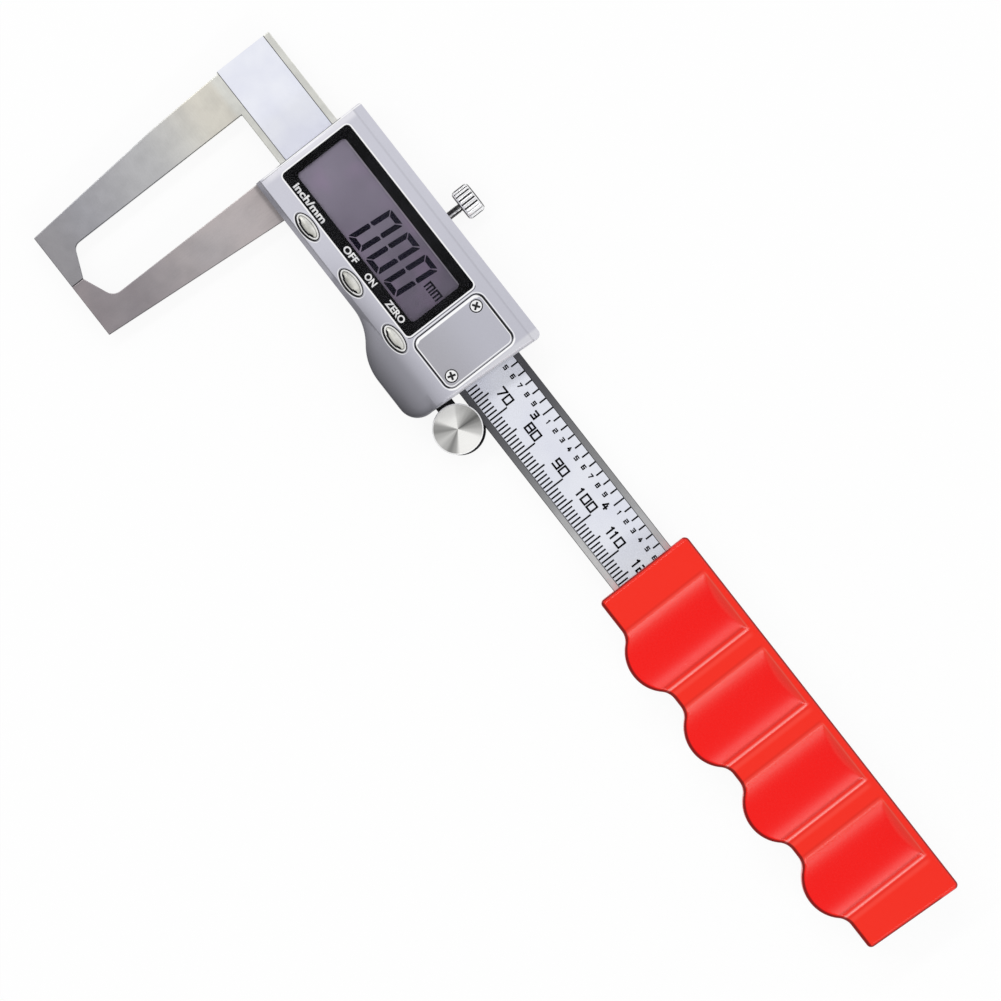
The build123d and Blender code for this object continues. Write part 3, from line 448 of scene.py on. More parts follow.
def brushed(name, tone_of, stretch, roughness, edge=0.00012, bright=0.6, metallic=1.0, black_of=None):
    """Brushed metal: a tone with faint spots, grain along a direction and painted highlights on the edges."""
    t = finish(name, Metallic=metallic)
    grain, edges = t.grain(stretch, *roughness), t.use(edge_group, Reach=edge)
    # Spots and grain are the steel's own; the near white on the edges is a painted highlight.
    edge_lit_tone = t.tones(
        tone_of(t),
        ((0.2, 0.2, 0.21), 0.14, t.clouds(260.0, 0.4, 0.7)),
        ((0.1, 0.1, 0.11), 0.16, grain["Mask"]),
        ((0.95, 0.95, 0.95), 0.3, edges["Mask"]))
    t.marked(edge_lit_tone, metallic, black=black_of(t) if black_of else (), bright=bright)
    t.relief(grain["Height"], 4, 0.5, Normal=edges["Normal"])


def painted(name, low, high, rough, size, shine, *rows):
    """Printed or moulded surface with faint clouds, a fine tooth and tones over them."""
    t = finish(name, Roughness=rough, Specular_IOR_Level=shine)
    t.feed(Base_Color=t.tones(t.blend(t.clouds(size), low, high), *rows))
    t.relief(t.grain((6000, 6000, 6000), rough - 0.05, rough + 0.05)["Height"], 3, 0.4)


def make_finishes(look):
    """Makes all materials."""
    def beam_tones(t):
        # Painted reflections: the jaw lighter at its root and darker towards its tip, the rails light by the
        # head, dark beside the slider and lighter towards the handle.
        low = t.blend(t.along("Y", -14, -42), look.steel, look.steel_low)
        warm = t.both(("Y", -34, 8), t.clouds(45.0).remap(0, 1, 0.75, 1.0))
        jaw = t.tones(
            t.blend(warm, low, look.steel_warm),
            (tint(184, 190, 203), 0.3, ("Y", 0, -12), ("Y", -40, -28)),
            (tint(255, 245, 224), 0.4, ("Y", -4, 6)))
        rail = t.blend(t.along("X", -92, -62), tint(255, 255, 248), look.steel_dark)
        rail = t.tones(
            t.blend(t.along("X", -28, 26), rail, tint(236, 237, 238)),
            ((1, 1, 1), 0.9, ("X", -6, 20), ("Y", 16, 14)),
            ((0.3, 0.3, 0.3), 0.3, ("X", -20, 0), ("X", 16, 4), ("Y", 22, 24)))
        front = t.blend(t.along("Y", 9.6, 11.6), jaw, rail)
        return t.blend(t.slope().remap(-0.3, -0.7), front, look.steel)

    def rail_lines(t):
        # Near-black lines along the beam's front and, past the head, along its edges: painted shade.
        across, front = t.place("Y"), t.slope().remap(0.05, 0.3)
        past_head = t.both(front, ("X", -92, -90))
        return [t.both(mask, across.line(low, low + width)) for mask, low, width in (
            (front, 12.94, 0.16), (front, 25.9, 0.16), (past_head, 11.4, 0.24), (past_head, 27.36, 0.24))]

    def frame_tones(t):
        # Painted reflections: the jaw lighter near the top and darker towards its tip; and a painted shadow
        # of the housing along the frame just below it.
        return t.tones(
            t.blend(t.clouds(60.0, 0.3, 0.75), look.steel, tint(222, 212, 211)),
            (tint(240, 226, 224), 0.35, ("Y", -12, -2)),
            (tint(150, 141, 147), 0.76, ("Y", -6, -36), t.clouds(150.0, 0.35, 0.7).remap(0, 1, 0.78, 1.0)),
            ((0.1, 0.1, 0.1), 0.36, ("Y", 3.4, 4.1), ("Y", 8, 6)))

    brushed("jaw_steel", frame_tones, (2500, 400, 2500), (0.3, 0.4))
    brushed("beam_steel", beam_tones, (400, 2500, 2500), (0.3, 0.4), black_of=rail_lines)
    for name, low, high, rough, bright, lustre in (
        ("plate_steel", (0.42, 0.42, 0.43), (0.5, 0.5, 0.5), (0.3, 0.4), 0.6, 1.0),
        ("screw_steel", (0.72, 0.72, 0.72), (0.9, 0.9, 0.9), (0.25, 0.35), 0.9, 1.0),
        ("cell_steel", (0.55, 0.55, 0.55), (0.65, 0.65, 0.65), (0.2, 0.3), 0.6, 1.0),
        ("brass", (0.62, 0.42, 0.14), (0.72, 0.5, 0.2), (0.25, 0.35), 0.6, 1.0),
        ("dark_steel", (0.012, 0.012, 0.014), (0.03, 0.03, 0.033), (0.35, 0.5), 0.6, 1.0),
        ("knurled_chrome", look.chrome, (0.95, 0.95, 0.96), (0.06, 0.12), 0.6, 1.0),
        ("button_silver", look.button, (0.84, 0.83, 0.77), (0.3, 0.4), 0.6, 0.35),
    ):
        brushed(name, lambda t: t.blend(t.clouds(400.0), low, high), (2500, 900, 2500), rough,
                0.00006, bright, lustre)
    housing_finish(look)
    grip_finish(look)
    roller_finish()
    display_finish(look)
    for name, low, high, rough, size, shine, *rows in (
        ("board_green", tint(18, 92, 52), tint(26, 112, 66), 0.35, 500.0, 0.5),
        ("connector_rubber", tint(60, 60, 64), tint(80, 80, 86), 0.7, 800.0, 0.3),
        ("switch_black", tint(20, 20, 22), tint(34, 34, 36), 0.5, 800.0, 0.4),
        ("black_border", tint(8, 8, 10), tint(18, 18, 22), 0.3, 260.0, 0.1),
        ("scale_ink", look.ink, tint(24, 24, 30), 0.5, 700.0, 0.05),
        ("segment_ink", look.segment, tint(20, 16, 36), 0.5, 400.0, 0.05),
        ("word_ink", look.word, tint(228, 228, 232), 0.5, 700.0, 0.3),
        ("label_foil", look.foil, look.foil_cloud, 0.42, 130.0, 0.3,
         (tint(196, 199, 208), 0.22, ("X", -36, -26)),
         (tint(120, 120, 128), 0.15, ("Y", 13.5, 13.1), ("X", -36, -26))),
    ):
        painted(name, low, high, rough, size, shine, *rows)
    t = finish("clear_window", Roughness=0.05, Alpha=0.08)
    haze = t.clouds(90.0)
    t.feed(Base_Color=t.blend(haze, (0.02, 0.02, 0.024), (0.06, 0.06, 0.07)),
           Roughness=haze.remap(0.0, 1.0, 0.03, 0.12))


def housing_finish(look):
    """Satin silver lacquer with painted shade over the lobe, painted highlights along its rims and painted
    shade in the gaps round what it holds.
    """
    t = finish("silver_housing", Metallic=0.3)
    low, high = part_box("front_housing")
    begin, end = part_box("battery_cover")
    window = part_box("window_mask")
    across, above, slope = t.place("X"), t.place("Y"), t.slope()
    grain = t.grain((2600, 2600, 2600), 0.34, 0.44)
    rim, pane = t.outline(begin, end, 2), t.outline(*window, 1)
    corner = t.outline(Vector((-100 * MM, low.y, 0)), Vector((-31.9 * MM, high.y, 0)), 4.6)
    held, lobe, grey = rim.remap(0.0, -0.1 * MM), ("X", -70, -58), (0.2, 0.2, 0.22)
    # Painted shade: the silver darkens towards the far end, under faint clouds.
    far = t.clouds(70.0, 0.3, 0.75).scaled(0.14, t.along("X", -90, -36) * 0.45)
    # Painted highlights on the left and right ends; painted shade over the lobe, its corner, its right slopes
    # and the top bevel; a darker tone on the battery cover, darker still low on it; and grain.
    base = t.tones(
        t.blend(far, look.silver, look.silver_shade),
        (tint(238, 237, 244), 0.85, ("X", -93.7, -95.0), ("Y", 31.6, 31.2), above.past(0, 5, 8)),
        (tint(140, 139, 148), 0.64, ("Y", 11, 5), ("X", -80, -56)),
        (tint(236, 236, 240), 0.55, ("X", -33.5, -32.7), ("Y", 8, 11)),
        (tint(174, 174, 184), 0.3, held),
        (tint(150, 148, 150), 0.42, held, ("Y", 24, 11)),
        (tint(159, 158, 168), 0.8, ("Y", 5.85, 5.5), ("X", -66, -74)),
        (tint(110, 109, 116), 0.42, ("Y", 7.2, 4.6), lobe),
        (tint(70, 69, 74), 0.62, ("Y", 5.5, -0.5), lobe),
        (tint(52, 51, 56), 0.5, corner.past(0, -2.6, -0.2), ("Y", 8, 3), ("X", -44, -34)),
        ((0.1, 0.1, 0.115), 0.4, slope.remap(0.9, 0.2), ("Y", 9, 5.5), ("X", -36, -46)),
        (grey, 0.16, above.line(31.3, 31.75, 0.12)),
        (grey, 0.06, ("Y", 31.4, 31.8)),
        (grey, 0.06, grain["Mask"]))
    level = across.past(begin.x, 0.4, 1.2) * across.past(end.x, -0.4, -1.2)
    upper = above.past((begin.y + end.y) / 2, 0, 1)
    thin = across.past(end.x, -0.7, -0.4, 1.0, 0.45)
    seam = across.past(begin.x, -0.5, -0.6)
    # Painted highlights along the window and round the cover; painted shade in the gap round the cover and
    # beyond the window.
    white = [pane.line(0.04, 0.36), rim.line(0.34, 0.5), rim.line(-0.46, -0.26),
             across.past(begin.x, 1.3, 1) * rim.line(-0.8, -0.2),
             across.past(end.x, -0.6, -0.3) * rim.line(0.05, 0.6)]
    black = [thin * rim.line(-0.12, 0.16, 0.03), level * rim.line(-0.2, 0.2, 0.02),
             level * upper * rim.line(-0.3, 0.1, 0.02),
             pane.line(0.46, 0.6, 0.03) * across.past(window[1].x, 0, 0.1) * seam]
    # Round each button's hole: painted shade, heavier below it, and a painted highlight below it.
    for node in BUTTONS:
        first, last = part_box(node)
        middle = (first + last) / 2
        away = t.use(oval_group, Centre=middle, Scale=(1 / HOLE_HALF[0], 1 / HOLE_HALF[1], 0))
        under = above.past(middle.y, 0.6, -0.8)
        black += [away.line(-0.3, 0.05, 0.03), away.line(-0.3, 0.26, 0.03) * under]
        white.append(away.line(0.3, 0.46) * under.scaled(0.6, 0.3))
    # Painted highlights along the right and left ends; painted shade along the left edge and along the lobe's
    # crease.
    leaning = t.vector("DOT_PRODUCT", t.place(), (1, -HOUSING_LEAN, 0))
    edge = (high.x - 1.7 * MM - HOUSING_LEAN * 5 * MM) / MM
    left = low.x / MM
    white += [t.both(leaning.line(edge + 0.5, edge + 0.85), ("Y", 9, 11), slope.remap(0.6, 0.9)),
              t.both(across.line(left + 0.14, left + 0.4), ("Y", 6, 7))]
    black += [t.both(across.line(left - 0.1, left + 0.12), ("Y", 10, 11), ("Y", 28.4, 28),
                     slope.remap(0.2, 0.6)),
              t.both(above.line(5.52, 5.68), ("X", -64, -70), slope.remap(0.1, 0.5, 0, 0.5))]
    t.marked(base, 0.3, white, black)
    calm = t.both(("Y", 9, 7), ("X", -72, -66), slope.remap(0.1, 0.45)) * 0.82
    rounded = t.use(edge_group, Reach=0.0002)["Normal"]
    level_normal = t.add("ShaderNodeMix", {0: calm, 4: rounded, 5: (0, 0, 1)}, data_type="VECTOR")[1]
    t.relief(grain["Height"], 3, 0.5, Normal=t.vector("NORMALIZE", level_normal))


def grip_finish(look):
    """Glossy red plastic, duller in the scoops, with painted shade: a deeper red in the scoops and dark
    rounded edges; painted highlight and shade lines along the scoops.
    """
    t = finish("red_grip", Roughness=0.2, Specular_IOR_Level=0.32)
    shape = bpy.context.scene.grip_shape
    low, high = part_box("handle")
    across, slope, tilt = t.place("X"), t.slope(), t.slope("Y")
    zero = low.x + shape.first_finger - shape.scoop_shift - shape.finger_pitch / 2
    away = (t.maths("FRACT", (across - zero) / shape.finger_pitch) - 0.5) * shape.finger_pitch
    inside = across.past(zero, 0, 1) * across.past(high.x, -6, -7)
    lengthwise = t.both(inside, ("Y", 30.4, 28.8), ("Z", 11.0, 12.0))
    upper = ("Y", 26.5, 27.5), ("Y", 30.75, 30.45)
    # Painted shade lines and painted highlight lines along the edges of every scoop.
    bands = [(tint(*screen), share, away.line(*span), lengthwise) for screen, share, span in (
        ((140, 14, 12), 0.3, (6.45, 6.95, 0.25)), ((140, 14, 12), 0.25, (8.35, 8.55, 0.25)),
        ((140, 14, 12), 0.2, (-8.8, -8.2, 0.25)), ((255, 178, 172), 0.5, (7.5, 7.95, 0.2)),
        ((252, 104, 90), 0.35, (8.8, 9.4, 0.5)), ((255, 122, 112), 0.22, (-8.3, -7.2, 0.3)))]
    ends = t.both(*upper, slope.remap(0.3, 0.5))
    # Painted shade on the steep rounded edges, except at the scoops' ends.
    steep = slope.remap(0.88, 0.5).most(tilt.remap(-0.22, -0.5))
    turn = steep * slope.remap(0.0, 0.2) * (1.0 - ends)
    # Painted shade deeper in the scoops, random tone, the painted lines, painted highlights at the scoops'
    # upper ends and painted shade on the edges.
    mixed = t.tones(
        t.blend(t.along("Z", 13.9, 12.5), look.grip, look.grip_deep),
        (tint(244, 26, 10), 0.15, t.clouds(55.0, 0.3, 0.8)), *bands,
        (tint(255, 130, 112), 0.1, tilt.remap(-0.1, -0.4), *upper),
        (tint(250, 128, 112), 0.3, inside, away.line(-7.8, 7.4, 0.4), t.place("Y").line(29.68, 29.92, 0.1)),
        (tint(96, 32, 31), 0.85, turn))
    bounced = t.add("ShaderNodeLightPath")["Is Diffuse Ray"]
    grain = t.grain((1500, 1500, 1500), -0.02, 0.04)
    dull = t.place("Z").remap(13.05 * MM, 13.6 * MM, 0.26, 0.13)
    t.feed(Base_Color=t.blend(bounced, mixed, (0.7, 0.7, 0.7)), Specular_IOR_Level=turn.scaled(-0.3, 0.32),
           Roughness=dull + grain["Roughness"])
    flat = t.xyz(X=1.0, Y=ends.scaled(-0.92, 1.0), Z=1.0)
    calm = t.vector("MULTIPLY", t.add("ShaderNodeNewGeometry")["Normal"], flat)
    t.relief(grain["Height"], 3, 0.3, Normal=t.vector("NORMALIZE", calm))


def roller_finish():
    """Spun steel: painted reflections in tones that change with the angle round the roller's axis, and fine
    rings.
    """
    t = finish("roller_steel", Metallic=0.25, Roughness=0.3, Anisotropic=0.7, Anisotropic_Rotation=0.25)
    low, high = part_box("thumb_roller")
    centre = (low + high) / 2
    local = t.vector("SUBTRACT", t.place(), (centre.x, centre.y, 0))
    parts = t.parts(local)
    turn = t.maths("ARCTAN2", parts["Y"], parts["X"]).remap(-math.pi, math.pi)
    ramp = t.add("ShaderNodeValToRGB", {0: turn})
    # Lighter and darker lobes round the axis: painted reflections.
    stops = (
        (0.0, 1.0), (0.07, 1.0), (0.125, 0.38), (0.165, 0.3), (0.2, 0.5), (0.25, 0.66), (0.3, 0.5),
        (0.34, 0.26), (0.375, 0.4), (0.415, 1.0), (0.58, 1.0), (0.625, 0.62), (0.68, 0.4), (0.715, 0.24),
        (0.74, 0.13), (0.77, 0.26), (0.81, 0.42), (0.85, 0.58), (0.9, 0.72), (0.93, 1.0), (1.0, 1.0),
    )
    ramp.node.color_ramp.interpolation = "EASE"
    elements = ramp.node.color_ramp.elements
    while len(elements) < len(stops):
        elements.new(0.5)
    for element, (spot, level) in zip(elements, stops):
        element.position = spot
        element.color = (level, level * 0.995, level * 0.97, 1)
    rings = t.maths("SINE", t.vector("LENGTH", local) * RING_WAVES)
    # The mesh's marks add a painted highlight on the rim's top and painted shade on its ribbed side.
    t.marked(t.blend(rings.remap(-1.0, 1.0, 0.0, 0.06), ramp, (0.2, 0.2, 0.2)), 0.25)
    t.feed(Roughness=rings.remap(-1.0, 1.0, 0.2, 0.26),
           Tangent=t.add("ShaderNodeTangent", direction_type="RADIAL", axis="Z"))
    t.relief(rings, 1, 0.3)


def display_finish(look):
    """Grey ground of the display, darker towards its far end."""
    t = finish("display_grey", Roughness=0.35)
    far = t.clouds(75.0, 0.3, 0.75).scaled(0.3, t.along("X", -92, -50) * 0.85)
    t.feed(Base_Color=t.tones(
        t.blend(far, look.glass, look.glass_cloud),
        (tint(176, 140, 184), 0.22, t.clouds(130.0, 0.5, 0.75)),
        (tint(226, 224, 232), 0.45, t.place("Y").line(26.02, 26.2))))
    t.relief(t.grain((5000, 5000, 5000), 0.3, 0.4)["Height"], 2, 0.3)


# Meshes

def linked(name, data):
    """New object in the scene."""
    made = bpy.data.objects.new(name, data)
    bpy.context.scene.collection.objects.link(made)
    return made


def plain_mesh(holder):
    """Mesh of an object as its modifiers leave it. The object and its modifiers go."""
    holder.update_tag()
    bpy.context.view_layer.update()
    made = bpy.data.meshes.new_from_object(holder.evaluated_get(bpy.context.evaluated_depsgraph_get()))
    holder.modifiers.clear()
    bpy.data.objects.remove(holder)
    return made


def mesh_of(name, points, faces=(), edges=()):
    """Mesh from points, faces and edges."""
    made = bpy.data.meshes.new(name)
    made.from_pydata([tuple(point) for point in points], list(edges), list(faces))
    made.validate()
    return made


def outward(mesh):
    """Merges doubles and turns the faces outwards."""
    work = bmesh.new()
    work.from_mesh(mesh)
    bmesh.ops.remove_doubles(work, verts=work.verts, dist=1e-7)
    bmesh.ops.recalc_face_normals(work, faces=work.faces)
    work.to_mesh(mesh)
    work.free()
    return mesh


def smooth(mesh, angle=35.0):
    """Smooth shading with sharp edges above an angle."""
    mesh.polygons.foreach_set("use_smooth", [True] * len(mesh.polygons))
    mesh.set_sharp_from_angle(angle=math.radians(angle))
    return mesh


def piece(name, mesh, body, material, replaces=()):
    """Finished piece: one material, riding on a body, standing for CAD nodes."""
    mesh.materials.clear()
    mesh.materials.append(bpy.data.materials[material])
    made = linked(name, mesh)
    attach(made, body)
    if replaces:
        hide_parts(*replaces)


def banded(name, rings, caps=()):
    """Closed mesh over rings of points. A ring of one point closes an end, and so does a face over a ring."""
    points, faces, loops = [], [], []
    for ring in rings:
        loops.append(range(len(points), len(points) + len(ring)))
        points += ring
    faces += [list(reversed(loops[0])), list(loops[-1])] if caps else []
    for one, other in zip(loops, loops[1:]):
        count = max(len(one), len(other))
        for i in range(count):
            j = (i + 1) % count
            quad = one[i % len(one)], one[j % len(one)], other[j % len(other)], other[i % len(other)]
            faces.append(list(dict.fromkeys(quad)))
    return outward(mesh_of(name, points, faces))


def ovals(name, rings, segments, centre=(0, 0)):
    """Closed solid from oval rings given as half length, half width and height."""
    angles = [FULL_TURN * i / segments for i in range(segments)]
    return banded(name, [[
        (centre[0] + half_x * math.cos(angle), centre[1] + half_y * math.sin(angle), height)
        for angle in (angles if half_x else [0.0])] for half_x, half_y, height in rings])


def turned(name, profile, segments, centre=(0, 0)):
    """Closed solid of revolution from radius and height."""
    return ovals(name, [(radius, radius, height) for radius, height in profile], segments, centre)


def arc(centre, radius, start, stop, steps):
    """Points along an arc, in degrees."""
    angles = [math.radians(start + (stop - start) * i / steps) for i in range(steps + 1)]
    return [(centre[0] + radius * math.cos(angle), centre[1] + radius * math.sin(angle)) for angle in angles]


def plate(name, outlines, low, high):
    """Thin flat pieces from closed outlines, between two heights."""
    points, faces = [], []
    for outline in outlines:
        first, count = len(points), len(outline)
        points += [(x, y, z) for z in (low, high) for x, y in outline]
        faces += [[first + i for i in reversed(range(count))], [first + count + i for i in range(count)]]
        for i in range(count):
            j = (i + 1) % count
            faces.append([first + i, first + j, first + count + j, first + count + i])
    return outward(mesh_of(name, points, faces))


def grown(name, source, tree, material, **values):
    """Plain mesh that a geometry tree makes from a source mesh."""
    values["material"] = bpy.data.materials[material]
    holder = linked(name, source)
    modifier = holder.modifiers.new("Build", "NODES")
    modifier.node_group = tree
    for item in tree.interface.items_tree:
        key = item.name.lower().replace(" ", "_")
        if item.in_out == "INPUT" and key in values:
            modifier[item.identifier] = values[key]
    made = plain_mesh(holder)
    made.name = name
    return made


def joined(name, meshes):
    """One mesh from several."""
    work = bmesh.new()
    for mesh in meshes:
        work.from_mesh(mesh)
    made = bpy.data.meshes.new(name)
    work.to_mesh(made)
    work.free()
    return made


def softened(node, name, width, where=lambda spot: True, mark=lambda spot, normal: 0.0,
             edge_mark=lambda normal: 0.0):
    """Copy of a CAD node's mesh with its sharp edges rounded and its faces marked."""
    work = bmesh.new()
    work.from_mesh(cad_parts[node].data)
    bmesh.ops.remove_doubles(work, verts=work.verts, dist=2e-6)
    bmesh.ops.dissolve_limit(work, angle_limit=math.radians(0.6), verts=work.verts, edges=work.edges)
    layer = work.faces.layers.float.new("mark")
    for face in work.faces:
        face[layer] = mark(face.calc_center_median(), face.normal)
    sharp = [edge for edge in work.edges if edge.calc_face_angle(0) > math.radians(28.0)
             and all(where(vert.co) for vert in edge.verts)]
    rounded = bmesh.ops.bevel(work, geom=sharp, offset=width, segments=2, profile=0.5,
                              affect="EDGES", clamp_overlap=False)
    for face in rounded["faces"]:
        face[layer] = edge_mark(face.normal)
    made = bpy.data.meshes.new(node)
    work.to_mesh(made)
    work.free()
    holder = linked(node, smooth(made, 40.0))
    holder.modifiers.new("Even", "WEIGHTED_NORMAL").keep_sharp = True
    made = plain_mesh(holder)
    made.name = name
    return made


def mark_faces(mesh, rule):
    """Marks faces by a rule on their centre."""
    if "mark" not in mesh.attributes:
        mesh.attributes.new("mark", "FLOAT", "FACE")
    for face, value in zip(mesh.polygons, mesh.attributes["mark"].data):
        value.value = rule(face.center)
    return mesh


# Geometry trees

def growing(name, inputs):
    """Like shared, for a geometry tree: what the function gives becomes real geometry with its material."""
    def wrap(fill):
        def finished(t, given):
            real = t.add("GeometryNodeRealizeInstances", {"Geometry": fill(t, given)})
            inked = {"Geometry": real, "Material": given["Material"]}
            return {"Geometry": t.add("GeometryNodeSetMaterial", inked)}
        sockets = f"Geometry Geometry, {inputs}, Material Material"
        return shared("GeometryNodeTree", name, sockets, "Geometry Geometry")(finished)
    return wrap


def copies(t, points, instance, **placed):
    """Copies of an instance on points."""
    return t.add("GeometryNodeInstanceOnPoints", {"Points": points, "Instance": instance, **placed})


@growing("Tick row", "Count Int, Pitch Float, Width Float, Ink Float, Short Float, Middle Float, "
         "Long Float, Middle step Int, Long step Int, Side Float, Start Vector")
def tick_tree(t, given):
    """Row of printed lines, longer at every middle and every long step."""
    row = t.add("GeometryNodeMeshLine", {
        "Count": given["Count"], "Start Location": given["Start"], "Offset": t.xyz(X=given["Pitch"])})
    index = t.add("GeometryNodeInputIndex")
    reach = given["Short"]
    for step, longer in (("Middle step", "Middle"), ("Long step", "Long")):
        on_step = t.maths("LESS_THAN", t.maths("MODULO", index, given[step]), 0.5)
        reach = on_step.scaled(given[longer] - reach, reach)
    bar = t.add("GeometryNodeMeshCube", {"Size": (1, 1, 1)})
    bar = t.add("GeometryNodeTransform", {"Geometry": bar, "Translation": t.xyz(Y=given["Side"] * 0.5)})
    return copies(t, row, bar, Scale=t.xyz(X=given["Width"], Y=reach, Z=given["Ink"]))


@growing("Printed strokes", "Width Float, Ink Float")
def stroke_tree(t, given):
    """Printed line along every edge."""
    ends = t.add("GeometryNodeInputMeshEdgeVertices")
    kept = t.add("GeometryNodeCaptureAttribute", {"Geometry": given["Geometry"]}, domain="EDGE")
    kept.node.capture_items.new("VECTOR", "Run")
    t.plug(kept.node, {"Run": t.vector("SUBTRACT", ends["Position 2"], ends["Position 1"])})
    points = t.add("GeometryNodeMeshToPoints", {"Mesh": kept}, mode="EDGES")
    longer = t.vector("LENGTH", kept["Run"]) + given["Width"]
    turn = t.add("FunctionNodeAlignRotationToVector", {"Vector": kept["Run"]}, axis="X")
    bar = t.add("GeometryNodeMeshCube", {"Size": (1, 1, 1)})
    return copies(t, points, bar, Rotation=turn, Scale=t.xyz(X=longer, Y=given["Width"], Z=given["Ink"]))


@growing("Row of copies", "Count Int, Pitch Float")
def row_tree(t, given):
    """Copies in a row."""
    row = {"Count": given["Count"], "Offset": t.xyz(X=given["Pitch"])}
    return copies(t, t.add("GeometryNodeMeshLine", row), given["Geometry"])


@growing("Flutes round an axis", "Count Int, Depth Float, Sharpness Float, Low Float, High Float, "
         "Fade Float, Inner radius Float")
def flute_tree(t, given):
    """Grooves pressed into the outside of a solid of revolution."""
    parts = t.parts(t.add("GeometryNodeInputPosition"))
    flat = t.xyz(X=parts["X"], Y=parts["Y"])
    angle = t.maths("ARCTAN2", parts["Y"], parts["X"])
    wave = t.maths("COSINE", angle * given["Count"]).remap(-1.0, 1.0)
    groove = t.maths("POWER", wave, given["Sharpness"])
    above = parts["Z"].remap(given["Low"], given["Low"] + given["Fade"])
    below = parts["Z"].remap(given["High"], given["High"] - given["Fade"])
    outer = t.maths("GREATER_THAN", t.vector("LENGTH", flat), given["Inner radius"])
    depth = groove * (above * below * outer) * given["Depth"]
    inwards = t.vector("SCALE", t.vector("NORMALIZE", flat), depth * -1.0)
    return t.add("GeometryNodeSetPosition", {"Geometry": given["Geometry"], "Offset": inwards})


@growing("Screw thread", "Turns Float, Radius Float, Height Float, Depth Float")
def thread_tree(t, given):
    """Spiral ridge added to a solid."""
    spiral = t.add("GeometryNodeCurveSpiral", {
        "Resolution": 24, "Rotations": given["Turns"], "Start Radius": given["Radius"],
        "End Radius": given["Radius"], "Height": given["Height"]})
    section = t.add("GeometryNodeCurvePrimitiveCircle", {"Resolution": 4, "Radius": given["Depth"]})
    ridge = t.add("GeometryNodeCurveToMesh", {"Curve": spiral, "Profile Curve": section, "Fill Caps": True})
    return t.join(ridge, given["Geometry"])


@growing("Cross head screws", "Screw Object, Recess length Float, Recess width Float, "
         "Recess depth Float, Turn Float")
def screw_tree(t, given):
    """Screw with a cross recess at every point, each turned a little further."""
    long, wide, deep = (given["Recess " + size] for size in ("length", "width", "depth"))
    arms = [t.add("GeometryNodeMeshCube", {"Size": t.xyz(X=x, Y=y, Z=deep)})
            for x, y in ((long, wide), (wide, long))]
    blank = t.add("GeometryNodeObjectInfo", {"Object": given["Screw"]})["Geometry"]
    solids = {"Mesh 1": blank, "Mesh 2": t.join(*arms), "Self Intersection": True}
    cut = t.add("GeometryNodeMeshBoolean", solids, operation="DIFFERENCE", solver="EXACT")
    steps = t.add("GeometryNodeInputIndex") + 1.0
    return copies(t, given["Geometry"], cut, Rotation=t.vector("SCALE", t.xyz(Z=given["Turn"]), steps))


def cross_screws(name, places, profile, recess):
    """Screws with a cross recess at several places, each top at height zero of its profile."""
    blank = linked(name + "_blank", smooth(turned(name + "_blank", profile, 40)))
    mesh = grown(name, mesh_of(name, [(x, y, 0) for x, y in places]), screw_tree(), "screw_steel",
                 screw=blank, recess_length=recess[0] * MM, recess_width=recess[1] * MM,
                 recess_depth=2 * recess[2] * MM, turn=SCREW_TURN)
    bpy.data.objects.remove(blank)
    head = max(point[0] for point in profile)

    # Marks: painted shade round the head's edge, darker on one side, and in the cross recess; painted
    # highlights on the head's ring and top.
    def dirt(spot):
        x, y = min(places, key=lambda place: math.hypot(spot.x - place[0], spot.y - place[1]))
        away = math.hypot(spot.x - x, spot.y - y)
        if away > head - 0.2 * MM:
            return -1.0 if spot.x - x > 1.2 * (spot.y - y) else -0.7
        if spot.z < -0.04 * MM and away < recess[0] * MM / 2:
            return -1.0
        return 1.0 if away > head - 0.6 * MM else 0.85

    return mark_faces(mesh, dirt)


# Print

STROKES = {
    "0": "ab bf fe ea", "1": "us st", "2": "ab bd dc ce ef", "3": "ab bd hd df fe",
    "4": "ri ij mn", "5": "ba ac cd df fe", "6": "ba ae ef fd dc", "7": "ab bk",
    "8": "ab bf fe ea cd", "9": "dc ca ab bf fe", "m": "ab ae rq bf",
}
CORNERS = {
    "a": (0, 1), "b": (1, 1), "c": (0, 0.52), "d": (1, 0.52), "e": (0, 0), "f": (1, 0),
    "h": (0.3, 0.52), "i": (0, 0.3), "j": (1, 0.3), "k": (0.35, 0), "m": (0.72, 0.66), "n": (0.72, 0),
    "r": (0.5, 1), "q": (0.5, 0), "s": (0.57, 1), "t": (0.57, 0), "u": (0.34, 0.87),
}
NARROW = {"1": 0.45}


def figures(text, right, low, height, aspect, gap=0.0):
    """Ends of the strokes of a number that ends at one place."""
    spots = []
    x = right + gap
    for sign in reversed(text):
        width = height * aspect
        x -= gap + width
        spots += [(x + u * width, low + v * height)
                  for u, v in (CORNERS[corner] for corner in STROKES[sign].replace(" ", ""))]
        x += width * (1 - NARROW.get(sign, 1))
    return spots


def strokes(name, spots, height, material, width, ink):
    """Printed lines between each two spots."""
    edges = [(i, i + 1) for i in range(0, len(spots), 2)]
    mesh = mesh_of(name, [(x, y, height) for x, y in spots], edges=edges)
    return grown(name, mesh, stroke_tree(), material, width=width * MM, ink=ink)


def words(name, text, box, low, high):
    """Lettering that fills a box given by its corners, between two heights."""
    curve = bpy.data.curves.new(name, "FONT")
    curve.body, curve.offset, curve.extrude, curve.resolution_u = text, 0.03, 0.5, 4
    mesh = plain_mesh(linked(name, curve))
    for axis in (0, 1):
        places = [v.co[axis] for v in mesh.vertices]
        first, scale = min(places), (box[axis + 2] - box[axis]) / (max(places) - min(places))
        for v in mesh.vertices:
            v.co[axis] = box[axis] + (v.co[axis] - first) * scale
    for v in mesh.vertices:
        v.co.z = low if v.co.z < 0 else high
    return outward(mesh)


# Operators

